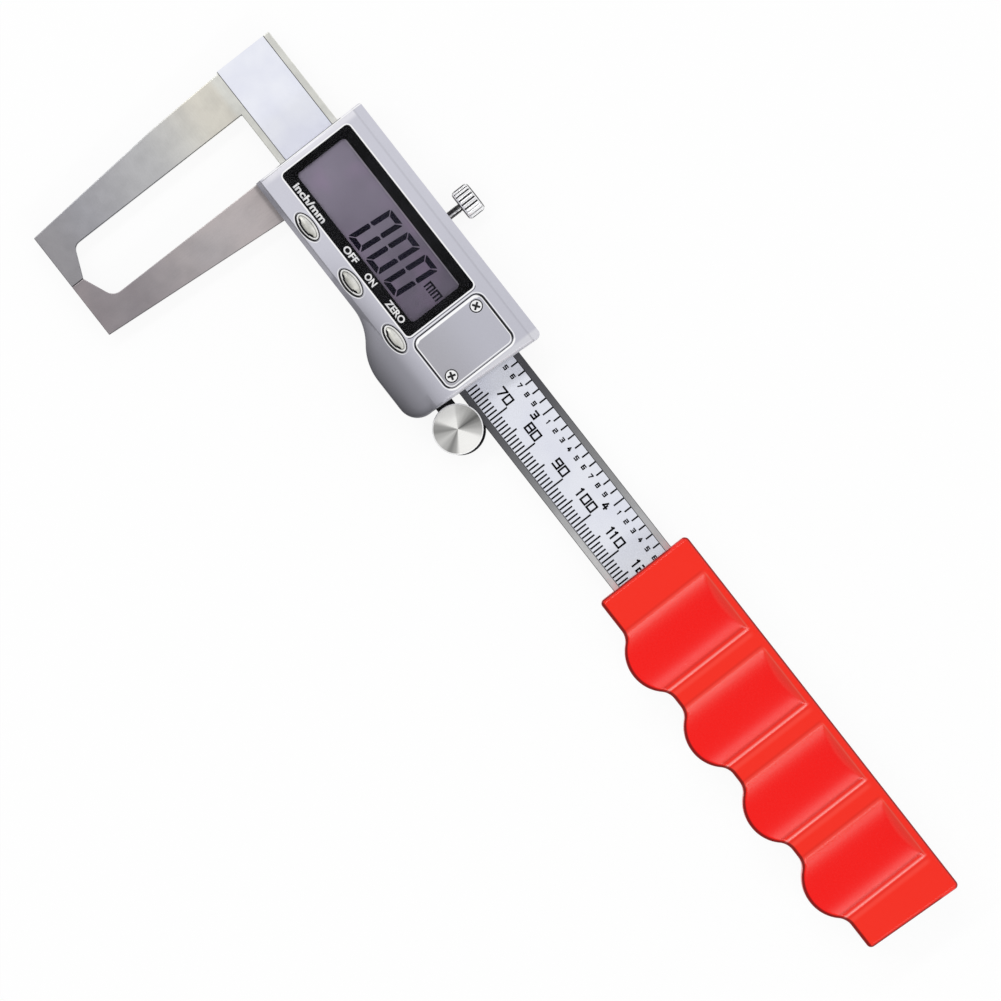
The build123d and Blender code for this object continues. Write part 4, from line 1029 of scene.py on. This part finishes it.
class CALIPER_OT_finishes(bpy.types.Operator):
    """Make the materials and dress the CAD nodes that stay"""
    bl_idname = "caliper.finishes"
    bl_label = "Finishes"

    def execute(self, context):
        plain = {old: old.name for old in bpy.data.materials}
        for old in plain:
            old.name = "plain"
        make_finishes(context.scene.finishes)
        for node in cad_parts.values():
            for slot in node.material_slots:
                slot.material = bpy.data.materials[plain[slot.material]]
        return {"FINISHED"}


class CALIPER_OT_metalwork(bpy.types.Operator):
    """Round the edges of the beam, the slider frame and the plates"""
    bl_idname = "caliper.metalwork"
    bl_label = "Beam and frame"

    def execute(self, context):
        for node, name, body, material, width in (
            ("main_beam", "beam_with_jaw", "beam", "beam_steel", 0.16),
            ("slider_frame", "frame_with_jaw", "slider", "jaw_steel", 0.12),
            ("back_plate", "rear_plate", "slider", "plate_steel", 0.12),
            ("roller_bracket", "roller_arm", "slider", "dark_steel", 0.1),
        ):
            # Bevel faces that face +X get painted shade.
            mesh = softened(node, name, width * MM, edge_mark=lambda normal: -1.0 if normal.x > 0.3 else 0.0)
            piece(name, mesh, body, material, replaces=(node,))
        return {"FINISHED"}


class CALIPER_OT_housing(bpy.types.Operator):
    """Round the edges of the silver housing and of the battery cover"""
    bl_idname = "caliper.housing"
    bl_label = "Housing and battery cover"

    def execute(self, context):
        left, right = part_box("window_mask")[0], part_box("battery_cover")[1]
        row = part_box("zero_button")[0]
        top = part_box("front_housing")[1].z
        reach = 0.3 * MM

        # Steep walls of the holes and grooves from the window to the cover get painted shade.
        def gap(spot, normal):
            inside = left.x - reach < spot.x < right.x + reach
            inside = inside and row.y - 2 * reach < spot.y < right.y + reach
            return -1.0 if abs(normal.z) < 0.3 and inside and spot.z > left.z - 2 * MM else 0.0

        def on_face(spot):
            return spot.z > top - 0.01 * MM and spot.y > 5 * MM

        for node, name in (("front_housing", "silver_shell"), ("battery_cover", "cell_cover")):
            mesh = softened(node, name, 0.1 * MM, on_face, gap)
            piece(name, mesh, "slider", "silver_housing", replaces=(node,))
        return {"FINISHED"}


class CALIPER_OT_scale(bpy.types.Operator):
    """Print the millimetre and inch scales on the label"""
    bl_idname = "caliper.scale"
    bl_label = "Scale print"

    def execute(self, context):
        size = context.scene.scale_print
        low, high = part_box("scale_label")
        face = high.z + size.ink_height / 2
        empty = bpy.data.meshes.new("ticks")
        rows = [
            grown(name, empty, tick_tree(), "scale_ink", count=marks + 1, pitch=pitch, short=short,
                  middle=middle, long=long, middle_step=5, long_step=10, side=side,
                  start=(size.zero_mark, y, face), width=size.tick_width, ink=size.ink_height)
            for name, marks, pitch, short, middle, long, side, y in (
                ("millimetres", size.marks, MM, size.short_tick, size.middle_tick, size.long_tick, 1.0,
                 low.y + 0.05 * MM),
                ("tenths", size.inch_marks, INCH / 10, size.tenth_tick, size.tenth_tick, size.inch_tick, -1.0,
                 high.y),
            )
        ]
        large, small = [], []
        for ten in range(0, size.marks + 1, 10):
            tick = size.zero_mark + ten * MM
            large += figures(str(ten), tick - 0.43 * MM, low.y + 5.05 * MM, size.figure_height, 0.78,
                             0.62 * MM)
        for tenth in range(1, size.inch_marks + 1):
            tick = size.zero_mark + tenth * INCH / 10
            whole, rest = divmod(tenth, 10)
            if rest:
                small += figures(str(rest), tick - 0.32 * MM, high.y - 3.23 * MM, size.tenth_height, 0.74)
            else:
                large += figures(str(whole), tick - 0.52 * MM, high.y - 4.93 * MM, size.inch_height, 0.77)
        for name, spots, width in (("figures", large, 0.43), ("tenth_figures", small, 0.29)):
            rows.append(strokes(name, spots, face, "scale_ink", width, size.ink_height))
        piece("scale_print", joined("scale_print", rows), "beam", "scale_ink")
        return {"FINISHED"}


class CALIPER_OT_display(bpy.types.Operator):
    """Print the segments on the display and the words on its border"""
    bl_idname = "caliper.display"
    bl_label = "Display print"

    def execute(self, context):
        size = context.scene.display_print
        ink = context.scene.scale_print.ink_height
        low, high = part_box("window_mask")
        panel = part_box("lcd_panel")[1].z
        view_left, view_low = low.x + 2.0 * MM, low.y + 2.75 * MM
        wide, tall, bar, gap = size.digit_width, size.digit_height, size.segment_width, size.segment_gap
        middle = tall / 2
        cut = 0.35 * MM
        top = [(cut + gap, tall), (wide - cut - gap, tall), (wide - bar - gap, tall - bar),
               (bar + gap, tall - bar), (gap + cut * 0.6, tall - cut * 0.6 + gap / 2)]
        side = [(0, tall - cut), (cut * 0.6 - gap / 2, tall - cut * 0.6 - gap),
                (bar - gap / 2, tall - bar - gap), (bar, tall - bar - 2 * gap), (bar, middle + cut * 1.4),
                (bar * 0.6, middle + cut * 0.5), (0, middle + cut * 0.7)]
        foot, low_side = ([(x, tall - y) for x, y in outline] for outline in (top, side))
        far, low_far = ([(wide - x, y) for x, y in outline] for outline in (side, low_side))
        outlines = [[(x + size.slant * y, y) for x, y in outline]
                    for outline in (top, foot, side, low_side, far, low_far)]
        digits = grown("digits", plate("digit", outlines, 0, ink), row_tree(), "segment_ink", count=3,
                       pitch=size.digit_pitch)
        first = view_left + size.first_digit, view_low + size.digit_rise, panel
        digits.transform(Matrix.Translation(first))
        unit_right, unit_low, unit_height = view_left + 40.65 * MM, view_low + 7.05 * MM, 1.66 * MM
        spots = figures("mm", unit_right, unit_low, unit_height, 1.0, 0.66 * MM)
        unit = strokes("unit", spots, panel + ink / 2, "segment_ink", 0.42, ink)
        piece("display_segments", joined("display_segments", [digits, unit]), "slider", "segment_ink")
        base = low.y + 0.5 * MM
        lettering = [
            words(name, text, ((left - WORD_ORIGIN) * MM, base - drop * MM, (right - WORD_ORIGIN) * MM,
                               base + size.word_height), high.z, high.z + ink)
            for name, text, left, right, drop in (
                ("unit_word", "inch/mm", 29.6, 40.0, 0.12), ("off_word", "OFF", 47.1, 51.4, 0),
                ("on_word", "ON", 54.7, 57.9, 0), ("zero_word", "ZERO", 62.3, 68.1, 0),
            )
        ]
        piece("border_words", joined("border_words", lettering), "slider", "word_ink")
        return {"FINISHED"}


class CALIPER_OT_buttons(bpy.types.Operator):
    """Make the three oval buttons"""
    bl_idname = "caliper.buttons"
    bl_label = "Buttons"

    def execute(self, context):
        long, short = 3.45, 1.5
        flange_long, flange_short, flange_low, flange_high = 4.35, 1.4, 12.95, 13.55
        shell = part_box("front_housing")[1].z / MM
        for node in BUTTONS:
            low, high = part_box(node)
            centre = (low + high) / 2
            foot, crown = low.z / MM, high.z / MM
            rings = [(0, 0, foot), (1, 1, foot), (1, 1, flange_low), (flange_long, flange_short, flange_low),
                     (flange_long, flange_short, flange_high), (long, short, flange_high)]
            rings += [(long - x, short - y, shell + z) for x, y, z in (
                (0, 0, 0.3), (0.06, 0.06, 0.42), (0.2, 0.2, 0.48), (0.36, 0.36, 0.45), (0.44, 0.42, 0.18),
                (0.56, 0.5, 0.18), (0.62, 0.55, 0.32))]
            end, side, brim = long - 0.62, short - 0.55, shell + 0.32
            rings += [(end * share, side * share, brim + (crown - brim) * (1 - share ** 2.2))
                      for share in (0.92, 0.8, 0.66, 0.5, 0.34, 0.18)]
            rings.append((0, 0, crown))
            mesh = ovals(node, [(x * MM, y * MM, z * MM) for x, y, z in rings], 72, (centre.x, centre.y))

            # Marks: painted shade on the cap's low sides, most below it; a painted highlight on its outer
            # ring; the dome lighter towards its top, a painted highlight.
            def shine(spot):
                u, v = (spot.x - centre.x) / (long * MM), (spot.y - centre.y) / (short * MM)
                away, under = math.hypot(u, v), v < -0.2
                if spot.z < (shell + 0.2) * MM:
                    return -1.0 if under else -0.5
                if away > 0.85:
                    return 1.0
                return -1.0 if under and away > 0.6 else max(0.1, min(0.8, 0.15 + v))

            mark_faces(mesh, shine)
            piece(node + "_cap", smooth(mesh, 50.0), node, "button_silver", replaces=(node,))
        return {"FINISHED"}


class CALIPER_OT_grip(bpy.types.Operator):
    """Mould the handle with its finger bumps and scoops"""
    bl_idname = "caliper.grip"
    bl_label = "Handle"

    def execute(self, context):
        name = "moulded_handle"
        made = linked(name, grip_mesh(context.scene.grip_shape))
        beam_low, beam_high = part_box("main_beam")
        left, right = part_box("handle")[0].x - MM, beam_high.x + 0.05 * MM
        down, up = 11.45 * MM, 27.55 * MM
        cutters = [plate("slot", [[(left, down), (right, down), (right, up), (left, up)]],
                         beam_low.z - 0.05 * MM, beam_high.z + 0.05 * MM)]
        low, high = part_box("handle_screws")
        radius, bore = (high.y - low.y) / 2, 1.5 * MM
        sink = [(0, -MM), (radius, -MM), (radius, low.z), (bore, low.z + bore), (bore, 4 * MM), (0, 4 * MM)]
        cutters += [turned("sink", sink, 48, (x, low.y + radius)) for x in (low.x + radius, high.x - radius)]
        tool = linked("cutters", joined("cutters", cutters))
        cut = made.modifiers.new("Cut", "BOOLEAN")
        cut.object, cut.solver, cut.use_self = tool, "EXACT", True
        result = plain_mesh(made)
        bpy.data.objects.remove(tool)
        if not result.polygons:
            raise RuntimeError("the handle came out empty")
        result.name = name
        piece(name, smooth(result, 40.0), "beam", "red_grip", replaces=("handle",))
        return {"FINISHED"}


def grip_mesh(shape):
    """Handle lofted along the beam: rounded sections whose lower side and top follow the fingers."""
    low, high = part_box("handle")
    start, stop = low.x, high.x - shape.lean / 2 + 0.05 * MM
    top_y, thick, edge = high.y, high.z, shape.edge
    land_y = low.y + shape.finger_depth
    stations = [start + shape.first_finger + i * shape.finger_pitch for i in range(4)]
    centre_y = low.y + shape.finger_radius
    blend_y = land_y - shape.finger_blend
    reach = shape.finger_radius + shape.finger_blend
    blend_x = math.sqrt(reach ** 2 - (centre_y - blend_y) ** 2)
    touch_x = blend_x * shape.finger_radius / reach
    half = shape.scoop_width / 2
    scoop_r = (half ** 2 + shape.scoop_depth ** 2) / (2 * shape.scoop_depth)
    scoop_z = thick - shape.scoop_depth + scoop_r
    rim_z = thick - shape.scoop_blend
    rim_x = math.sqrt((scoop_r + shape.scoop_blend) ** 2 - (scoop_z - rim_z) ** 2)
    meet_x = rim_x * scoop_r / (scoop_r + shape.scoop_blend)

    def lower_side(x):
        away = min(abs(x - station) for station in stations)
        if away <= touch_x:
            return centre_y - math.sqrt(shape.finger_radius ** 2 - away ** 2)
        if away < blend_x:
            return blend_y + math.sqrt(shape.finger_blend ** 2 - (blend_x - away) ** 2)
        return land_y

    def drop(x):
        away = min(abs(x + shape.scoop_shift - station) for station in stations)
        if away <= meet_x:
            return thick - (scoop_z - math.sqrt(scoop_r ** 2 - away ** 2))
        if away < rim_x:
            return thick - (rim_z + math.sqrt(shape.scoop_blend ** 2 - (rim_x - away) ** 2))
        return 0.0

    span = stop - start - 2 * edge
    count, fan = max(2, round(span / shape.step)), 7
    ends = [(edge * (1 - math.cos(math.pi / 2 * i / fan)), edge * (1 - math.sin(math.pi / 2 * i / fan)))
            for i in range(fan)]
    places = [(start + along, inset) for along, inset in ends]
    places += [(start + edge + span * i / count, 0.0) for i in range(count + 1)]
    places += [(stop - along, inset) for along, inset in reversed(ends)]
    near = [0.1, 0.2, 0.3, 0.4, 0.5, 0.65, 0.85]
    near_span, inner, corner = MM, 60, 6
    middle, width = (land_y + top_y) / 2, top_y - land_y
    last_rim = stations[-1] + rim_x
    rings = []
    for x, inset in places:
        radius, depth = max(edge - inset, 0.02 * MM), drop(x)
        roof = thick - inset
        left, right = lower_side(x) + inset + radius, top_y - inset - radius
        first, last = right - near_span * near[-1], left + near_span * near[-1]
        tops = [right - near_span * n for n in near]
        tops += [first + (last - first) * k / inner for k in range(1, inner)]
        tops += [left + near_span * n for n in reversed(near)]
        ring = arc((left, inset + radius), radius, 180, 270, corner)
        ring += arc((right, inset + radius), radius, 270, 360, corner)
        ring += arc((right, roof - radius), radius, 0, 90, corner)
        for y in tops:
            slope = max(top_y - shape.rim - y, 0.0)
            soft = max(1 - abs((depth - slope) / (0.6 * MM)), 0.0) ** 2 * 0.15 * MM
            ring.append((y, roof - max(min(depth, slope) - soft, 0.0)))
        ring += arc((left, roof - depth - radius), radius, 90, 180, corner)
        bend = min(max((x - last_rim) / (stop - last_rim), 0.0), 1.0) * shape.lean
        rings.append([(x + bend * (y - middle) / width, y, z) for y, z in ring])
    return banded("moulded_handle", rings, caps=True)


class CALIPER_OT_screws(bpy.types.Operator):
    """Make the cross head screws of the cover, the back plate and the handle"""
    bl_idname = "caliper.screws"
    bl_label = "Screws"

    def execute(self, context):
        low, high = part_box("battery_cover_screws")
        head, shank, deep = 1.45 * MM, 0.7 * MM, low.z - high.z
        under = -0.7 * MM
        profile = [(0, deep), (shank * 0.4, deep), (shank, deep + 0.4 * MM), (shank, under), (head, under),
                   (head, -0.3 * MM), (head - 0.2 * MM, -0.05 * MM), (head - 0.24 * MM, 0),
                   (head - 0.6 * MM, 0), (0, 0)]
        places = [(low.x + head, high.y - head), (high.x - head, low.y + head)]
        mesh = cross_screws("cover_screws", places, profile, (1.9, 0.5, 0.45))
        mesh.transform(Matrix.Translation((0, 0, high.z)))
        piece("cover_screws", smooth(outward(mesh)), "slider", "screw_steel",
              replaces=("battery_cover_screws",))
        for node, name, body, head, drop, shank, cross in (
            ("back_plate_screws", "plate_screws", "slider", 1.6, 0.6, 1.0, (1.9, 0.42, 0.4)),
            ("handle_screws", "grip_screws", "beam", 2.75, 1.5, 1.5, (3.2, 0.65, 0.9)),
        ):
            low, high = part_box(node)
            rise = high.z - low.z
            head, shank = head * MM, shank * MM
            profile = [(0, -rise), (shank * 0.5, -rise), (shank, 0.5 * MM - rise), (shank, -drop * MM),
                       (head, 0), (0, 0)]
            ys = sorted({round(low.y + head, 7), round(high.y - head, 7)})
            places = [(x, y) for x in (low.x + head, high.x - head) for y in ys]
            mesh = cross_screws(name, places, profile, cross)
            mesh.transform(Matrix.Rotation(math.pi, 4, "X"))
            for v in mesh.vertices:
                v.co.y = -v.co.y + 0.0
                v.co.z += low.z
            piece(name, smooth(outward(mesh)), body, "screw_steel", replaces=(node,))
        return {"FINISHED"}


class CALIPER_OT_lock_screw(bpy.types.Operator):
    """Make the fluted lock screw with its thread"""
    bl_idname = "caliper.lock_screw"
    bl_label = "Lock screw"

    def execute(self, context):
        size = context.scene.knob_shape
        low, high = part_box("lock_screw")
        radius, whole = (high.x - low.x) / 2, high.y - low.y
        knob_length = 4.45 * MM
        head = whole - knob_length
        core, soft, dish = 0.88 * MM, 0.9 * MM, whole - 0.12 * MM
        profile = [(0, 0), (core - 0.2 * MM, 0), (core, 0.25 * MM), (core, head),
                   (radius - soft - 0.5 * MM, head)]
        profile += arc((radius - soft, head + soft), soft, -90, 0, 6)
        profile += [(radius, head + soft + (whole - head - 2 * soft) * k / 6) for k in range(1, 6)]
        profile += arc((radius - soft, whole - soft), soft, 0, 90, 6)
        profile += [(radius - 1.2 * MM, whole), (radius - 1.35 * MM, dish), (0, dish)]
        mesh = grown("lock_head", turned("lock_head", profile, size.flutes * 12), flute_tree(),
                     "knurled_chrome", count=size.flutes, depth=size.flute_depth, sharpness=4.0,
                     low=head - 0.01 * MM, high=whole + 0.01 * MM, fade=0.5 * MM, inner_radius=radius - MM)
        groove = radius - 0.5 * size.flute_depth

        # Marks: painted shade on the thread with one painted highlight streak, on the head's ends and edges
        # and in the flutes, more on one side; painted highlights elsewhere.
        def dirt(spot):
            away = math.hypot(spot.x, spot.y)
            if spot.z < head - 0.05 * MM:
                return 0.9 if 0.05 * MM < spot.x < 0.4 * MM else -1.0
            if spot.z < head + 0.3 * MM or spot.z > whole - 0.2 * MM or abs(spot.x) > radius - 0.18 * MM:
                return -1.0
            if radius - MM < away < groove and head + 0.5 * MM < spot.z < whole - 0.5 * MM:
                return -1.0 if spot.x < 1.2 * MM else -0.4
            return 0.9

        threaded = head - 0.5 * MM
        mesh = grown("lock_thread", mesh, thread_tree(), "knurled_chrome", turns=threaded / size.thread_pitch,
                     radius=core - 0.02 * MM, height=threaded, depth=size.thread_depth)
        mark_faces(mesh, dirt)
        mesh.transform(Matrix.Rotation(-math.pi / 2, 4, "X"))
        mesh.transform(Matrix.Translation(((low.x + high.x) / 2, low.y, (low.z + high.z) / 2)))
        piece("knurled_lock_screw", smooth(mesh, 40.0), "lock_screw", "knurled_chrome",
              replaces=("lock_screw",))
        return {"FINISHED"}


class CALIPER_OT_roller(bpy.types.Operator):
    """Make the thumb roller with its spun face and ribbed edge"""
    bl_idname = "caliper.roller"
    bl_label = "Thumb roller"

    def execute(self, context):
        size = context.scene.knob_shape
        low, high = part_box("thumb_roller")
        centre, radius = (low + high) / 2, (high.x - low.x) / 2
        hub, bore, rim = 5.05 * MM, 1.53 * MM, 2.0 * MM
        face, soft, dish = high.z - rim, 0.3 * MM, 0.35 * MM
        pit = high.z - dish - 0.9 * MM
        profile = [(0, pit), (bore, pit), (bore, low.z), (hub, low.z), (hub, face)]
        profile += arc((radius - soft, face + soft), soft, -90, 0, 4)
        profile += [(radius, face + soft + (rim - 2 * soft) * k / 5) for k in range(1, 5)]
        profile += arc((radius - soft, high.z - soft), soft, 0, 90, 5)
        profile += [((radius - 2 * soft) * (1 - k / 16), high.z - dish * k / 16) for k in range(16)]
        profile += [(0, high.z - dish)]
        mesh = grown("roller", turned("roller", profile, size.ribs * 4), flute_tree(), "roller_steel",
                     count=size.ribs, depth=size.rib_depth, sharpness=1.5, low=face, high=high.z - 0.15 * MM,
                     fade=0.25 * MM, inner_radius=radius - 0.5 * MM)

        # Marks: painted shade on the ribbed side, a painted highlight on the rim's top edge.
        def shine(spot):
            if math.hypot(spot.x, spot.y) <= radius - soft:
                return 0.0
            return -0.9 if spot.z < high.z - soft else 0.8

        mark_faces(mesh, shine)
        mesh.transform(Matrix.Translation((centre.x, centre.y, 0)))
        piece("spun_roller", smooth(mesh, 40.0), "thumb_roller", "roller_steel", replaces=("thumb_roller",))
        return {"FINISHED"}


def bare(owner):
    """Empty node tree of a material or a world."""
    owner.use_nodes = True
    owner.node_tree.nodes.clear()
    return Tree(owner.node_tree)


def seen(t):
    """One where the camera looks, also in a reflection or through glass."""
    path = t.add("ShaderNodeLightPath")
    return path["Is Camera Ray"].most(path["Is Glossy Ray"]).most(path["Is Transmission Ray"])


class CALIPER_OT_stage(bpy.types.Operator):
    """Set the floor, the lights and the camera"""
    bl_idname = "caliper.stage"
    bl_label = "Studio"

    def execute(self, context):
        scene, level = context.scene, context.scene.studio_light
        scene.view_settings.view_transform = "Standard"
        white, quad = (1, 1, 1), [(0, 1, 2, 3)]
        corners = [(x, y, -0.1 * MM) for x, y in ((-4, -4), (4, -4), (4, 4), (-4, 4))]
        floor = linked("floor", mesh_of("floor", corners, quad))
        paper = bpy.data.materials.new("paper")
        t = bare(paper)
        mat = t.add("ShaderNodeBsdfDiffuse", {"Color": (0.92, 0.92, 0.92)})
        glow = t.add("ShaderNodeEmission", {"Color": white, "Strength": 1.0})
        mixed = t.add("ShaderNodeMixShader", {0: seen(t) * (1 - level.shadow), 1: mat, 2: glow})
        t.add("ShaderNodeOutputMaterial", {"Surface": mixed})
        floor.data.materials.append(paper)
        scene.world = bpy.data.worlds.new("studio")
        t = bare(scene.world)
        strength = seen(t).remap(0.0, 1.0, level.fill, 1.0)
        t.add("ShaderNodeOutputWorld", {
            "Surface": t.add("ShaderNodeBackground", {"Color": white, "Strength": strength})})
        reach = 1.2
        for name, tilt, radiance, wide in (
            ("near_strip", -32.0, level.left_strip, 0.16), ("far_strip", 43.0, level.right_strip, 0.2),
        ):
            lamp = bpy.data.lights.new(name, "AREA")
            lamp.shape, lamp.size, lamp.size_y = "RECTANGLE", wide, 1.3
            lamp.energy = radiance * math.pi * lamp.size * lamp.size_y
            holder, angle = linked(name, lamp), math.radians(tilt)
            holder.location = (0.05 + reach * math.sin(angle), 0.0, reach * math.cos(angle))
            holder.rotation_euler = (0, angle, 0)
        flag = linked("dark_card", mesh_of("dark_card", [
            (-0.9, -0.9, 0.02), (0.9, -0.9, 0.02), (0.9, -1.2, 1.4), (-0.9, -1.2, 1.4)], quad))
        card = bpy.data.materials.new("card")
        card.use_nodes = True
        Tree(card.node_tree).feed(Base_Color=(0.02, 0.02, 0.02))
        lid = linked("grey_card", turned("grey_card", [(0, 1.5), (2.2, 1.5), (2.2, 1.505), (0, 1.505)], 64))
        shade = bpy.data.materials.new("grey_card")
        t = bare(shade)
        t.add("ShaderNodeOutputMaterial", {
            "Surface": t.add("ShaderNodeEmission", {"Color": white, "Strength": level.lid})})
        for board, material in ((flag, card), (lid, shade)):
            board.data.materials.append(material)
            for ray in ("camera", "shadow", "diffuse", "transmission"):
                setattr(board, "visible_" + ray, False)
        lens = bpy.data.cameras.new("camera")
        lens.sensor_width, lens.clip_end = 36, 20
        lens.lens = lens.sensor_width * (level.distance - 0.01) / level.field
        camera = linked("camera", lens)
        across, up = (VIEW_COSINE, VIEW_SINE, 0), (-VIEW_SINE, VIEW_COSINE, 0)
        camera.matrix_world = Matrix.Translation((*VIEW_MIDDLE, level.distance)) @ Matrix(
            (across, up, (0, 0, 1))).transposed().to_4x4()
        scene.camera = camera
        return {"FINISHED"}


OPERATORS = (
    CALIPER_OT_finishes, CALIPER_OT_metalwork, CALIPER_OT_housing, CALIPER_OT_scale, CALIPER_OT_display,
    CALIPER_OT_buttons, CALIPER_OT_grip, CALIPER_OT_screws, CALIPER_OT_lock_screw, CALIPER_OT_roller,
    CALIPER_OT_stage,
)


class CALIPER_PT_sidebar(bpy.types.Panel):
    """Settings and steps of the caliper"""
    bl_idname = "CALIPER_PT_sidebar"
    bl_label = "Brake Disc Caliper"
    bl_space_type = "VIEW_3D"
    bl_region_type = "UI"
    bl_category = "Caliper"

    def draw(self, context):
        for operator in OPERATORS:
            self.layout.operator(operator.bl_idname)
        for name, settings in GROUPS.items():
            box = self.layout.box()
            box.label(text=settings.__doc__)
            for key in settings.__annotations__:
                box.prop(getattr(context.scene, name), key)


CLASSES = (*GROUPS.values(), *OPERATORS, CALIPER_PT_sidebar)


def register():
    for part in CLASSES:
        bpy.utils.register_class(part)
    for name, settings in GROUPS.items():
        setattr(bpy.types.Scene, name, PointerProperty(type=settings))


def unregister():
    for name in GROUPS:
        delattr(bpy.types.Scene, name)
    for part in reversed(CLASSES):
        bpy.utils.unregister_class(part)


def main():
    """Registers the add-on and runs its steps in order."""
    register()
    for operator in OPERATORS:
        family, name = operator.bl_idname.split(".")
        getattr(getattr(bpy.ops, family), name)()


if __name__ == "__main__":
    main()
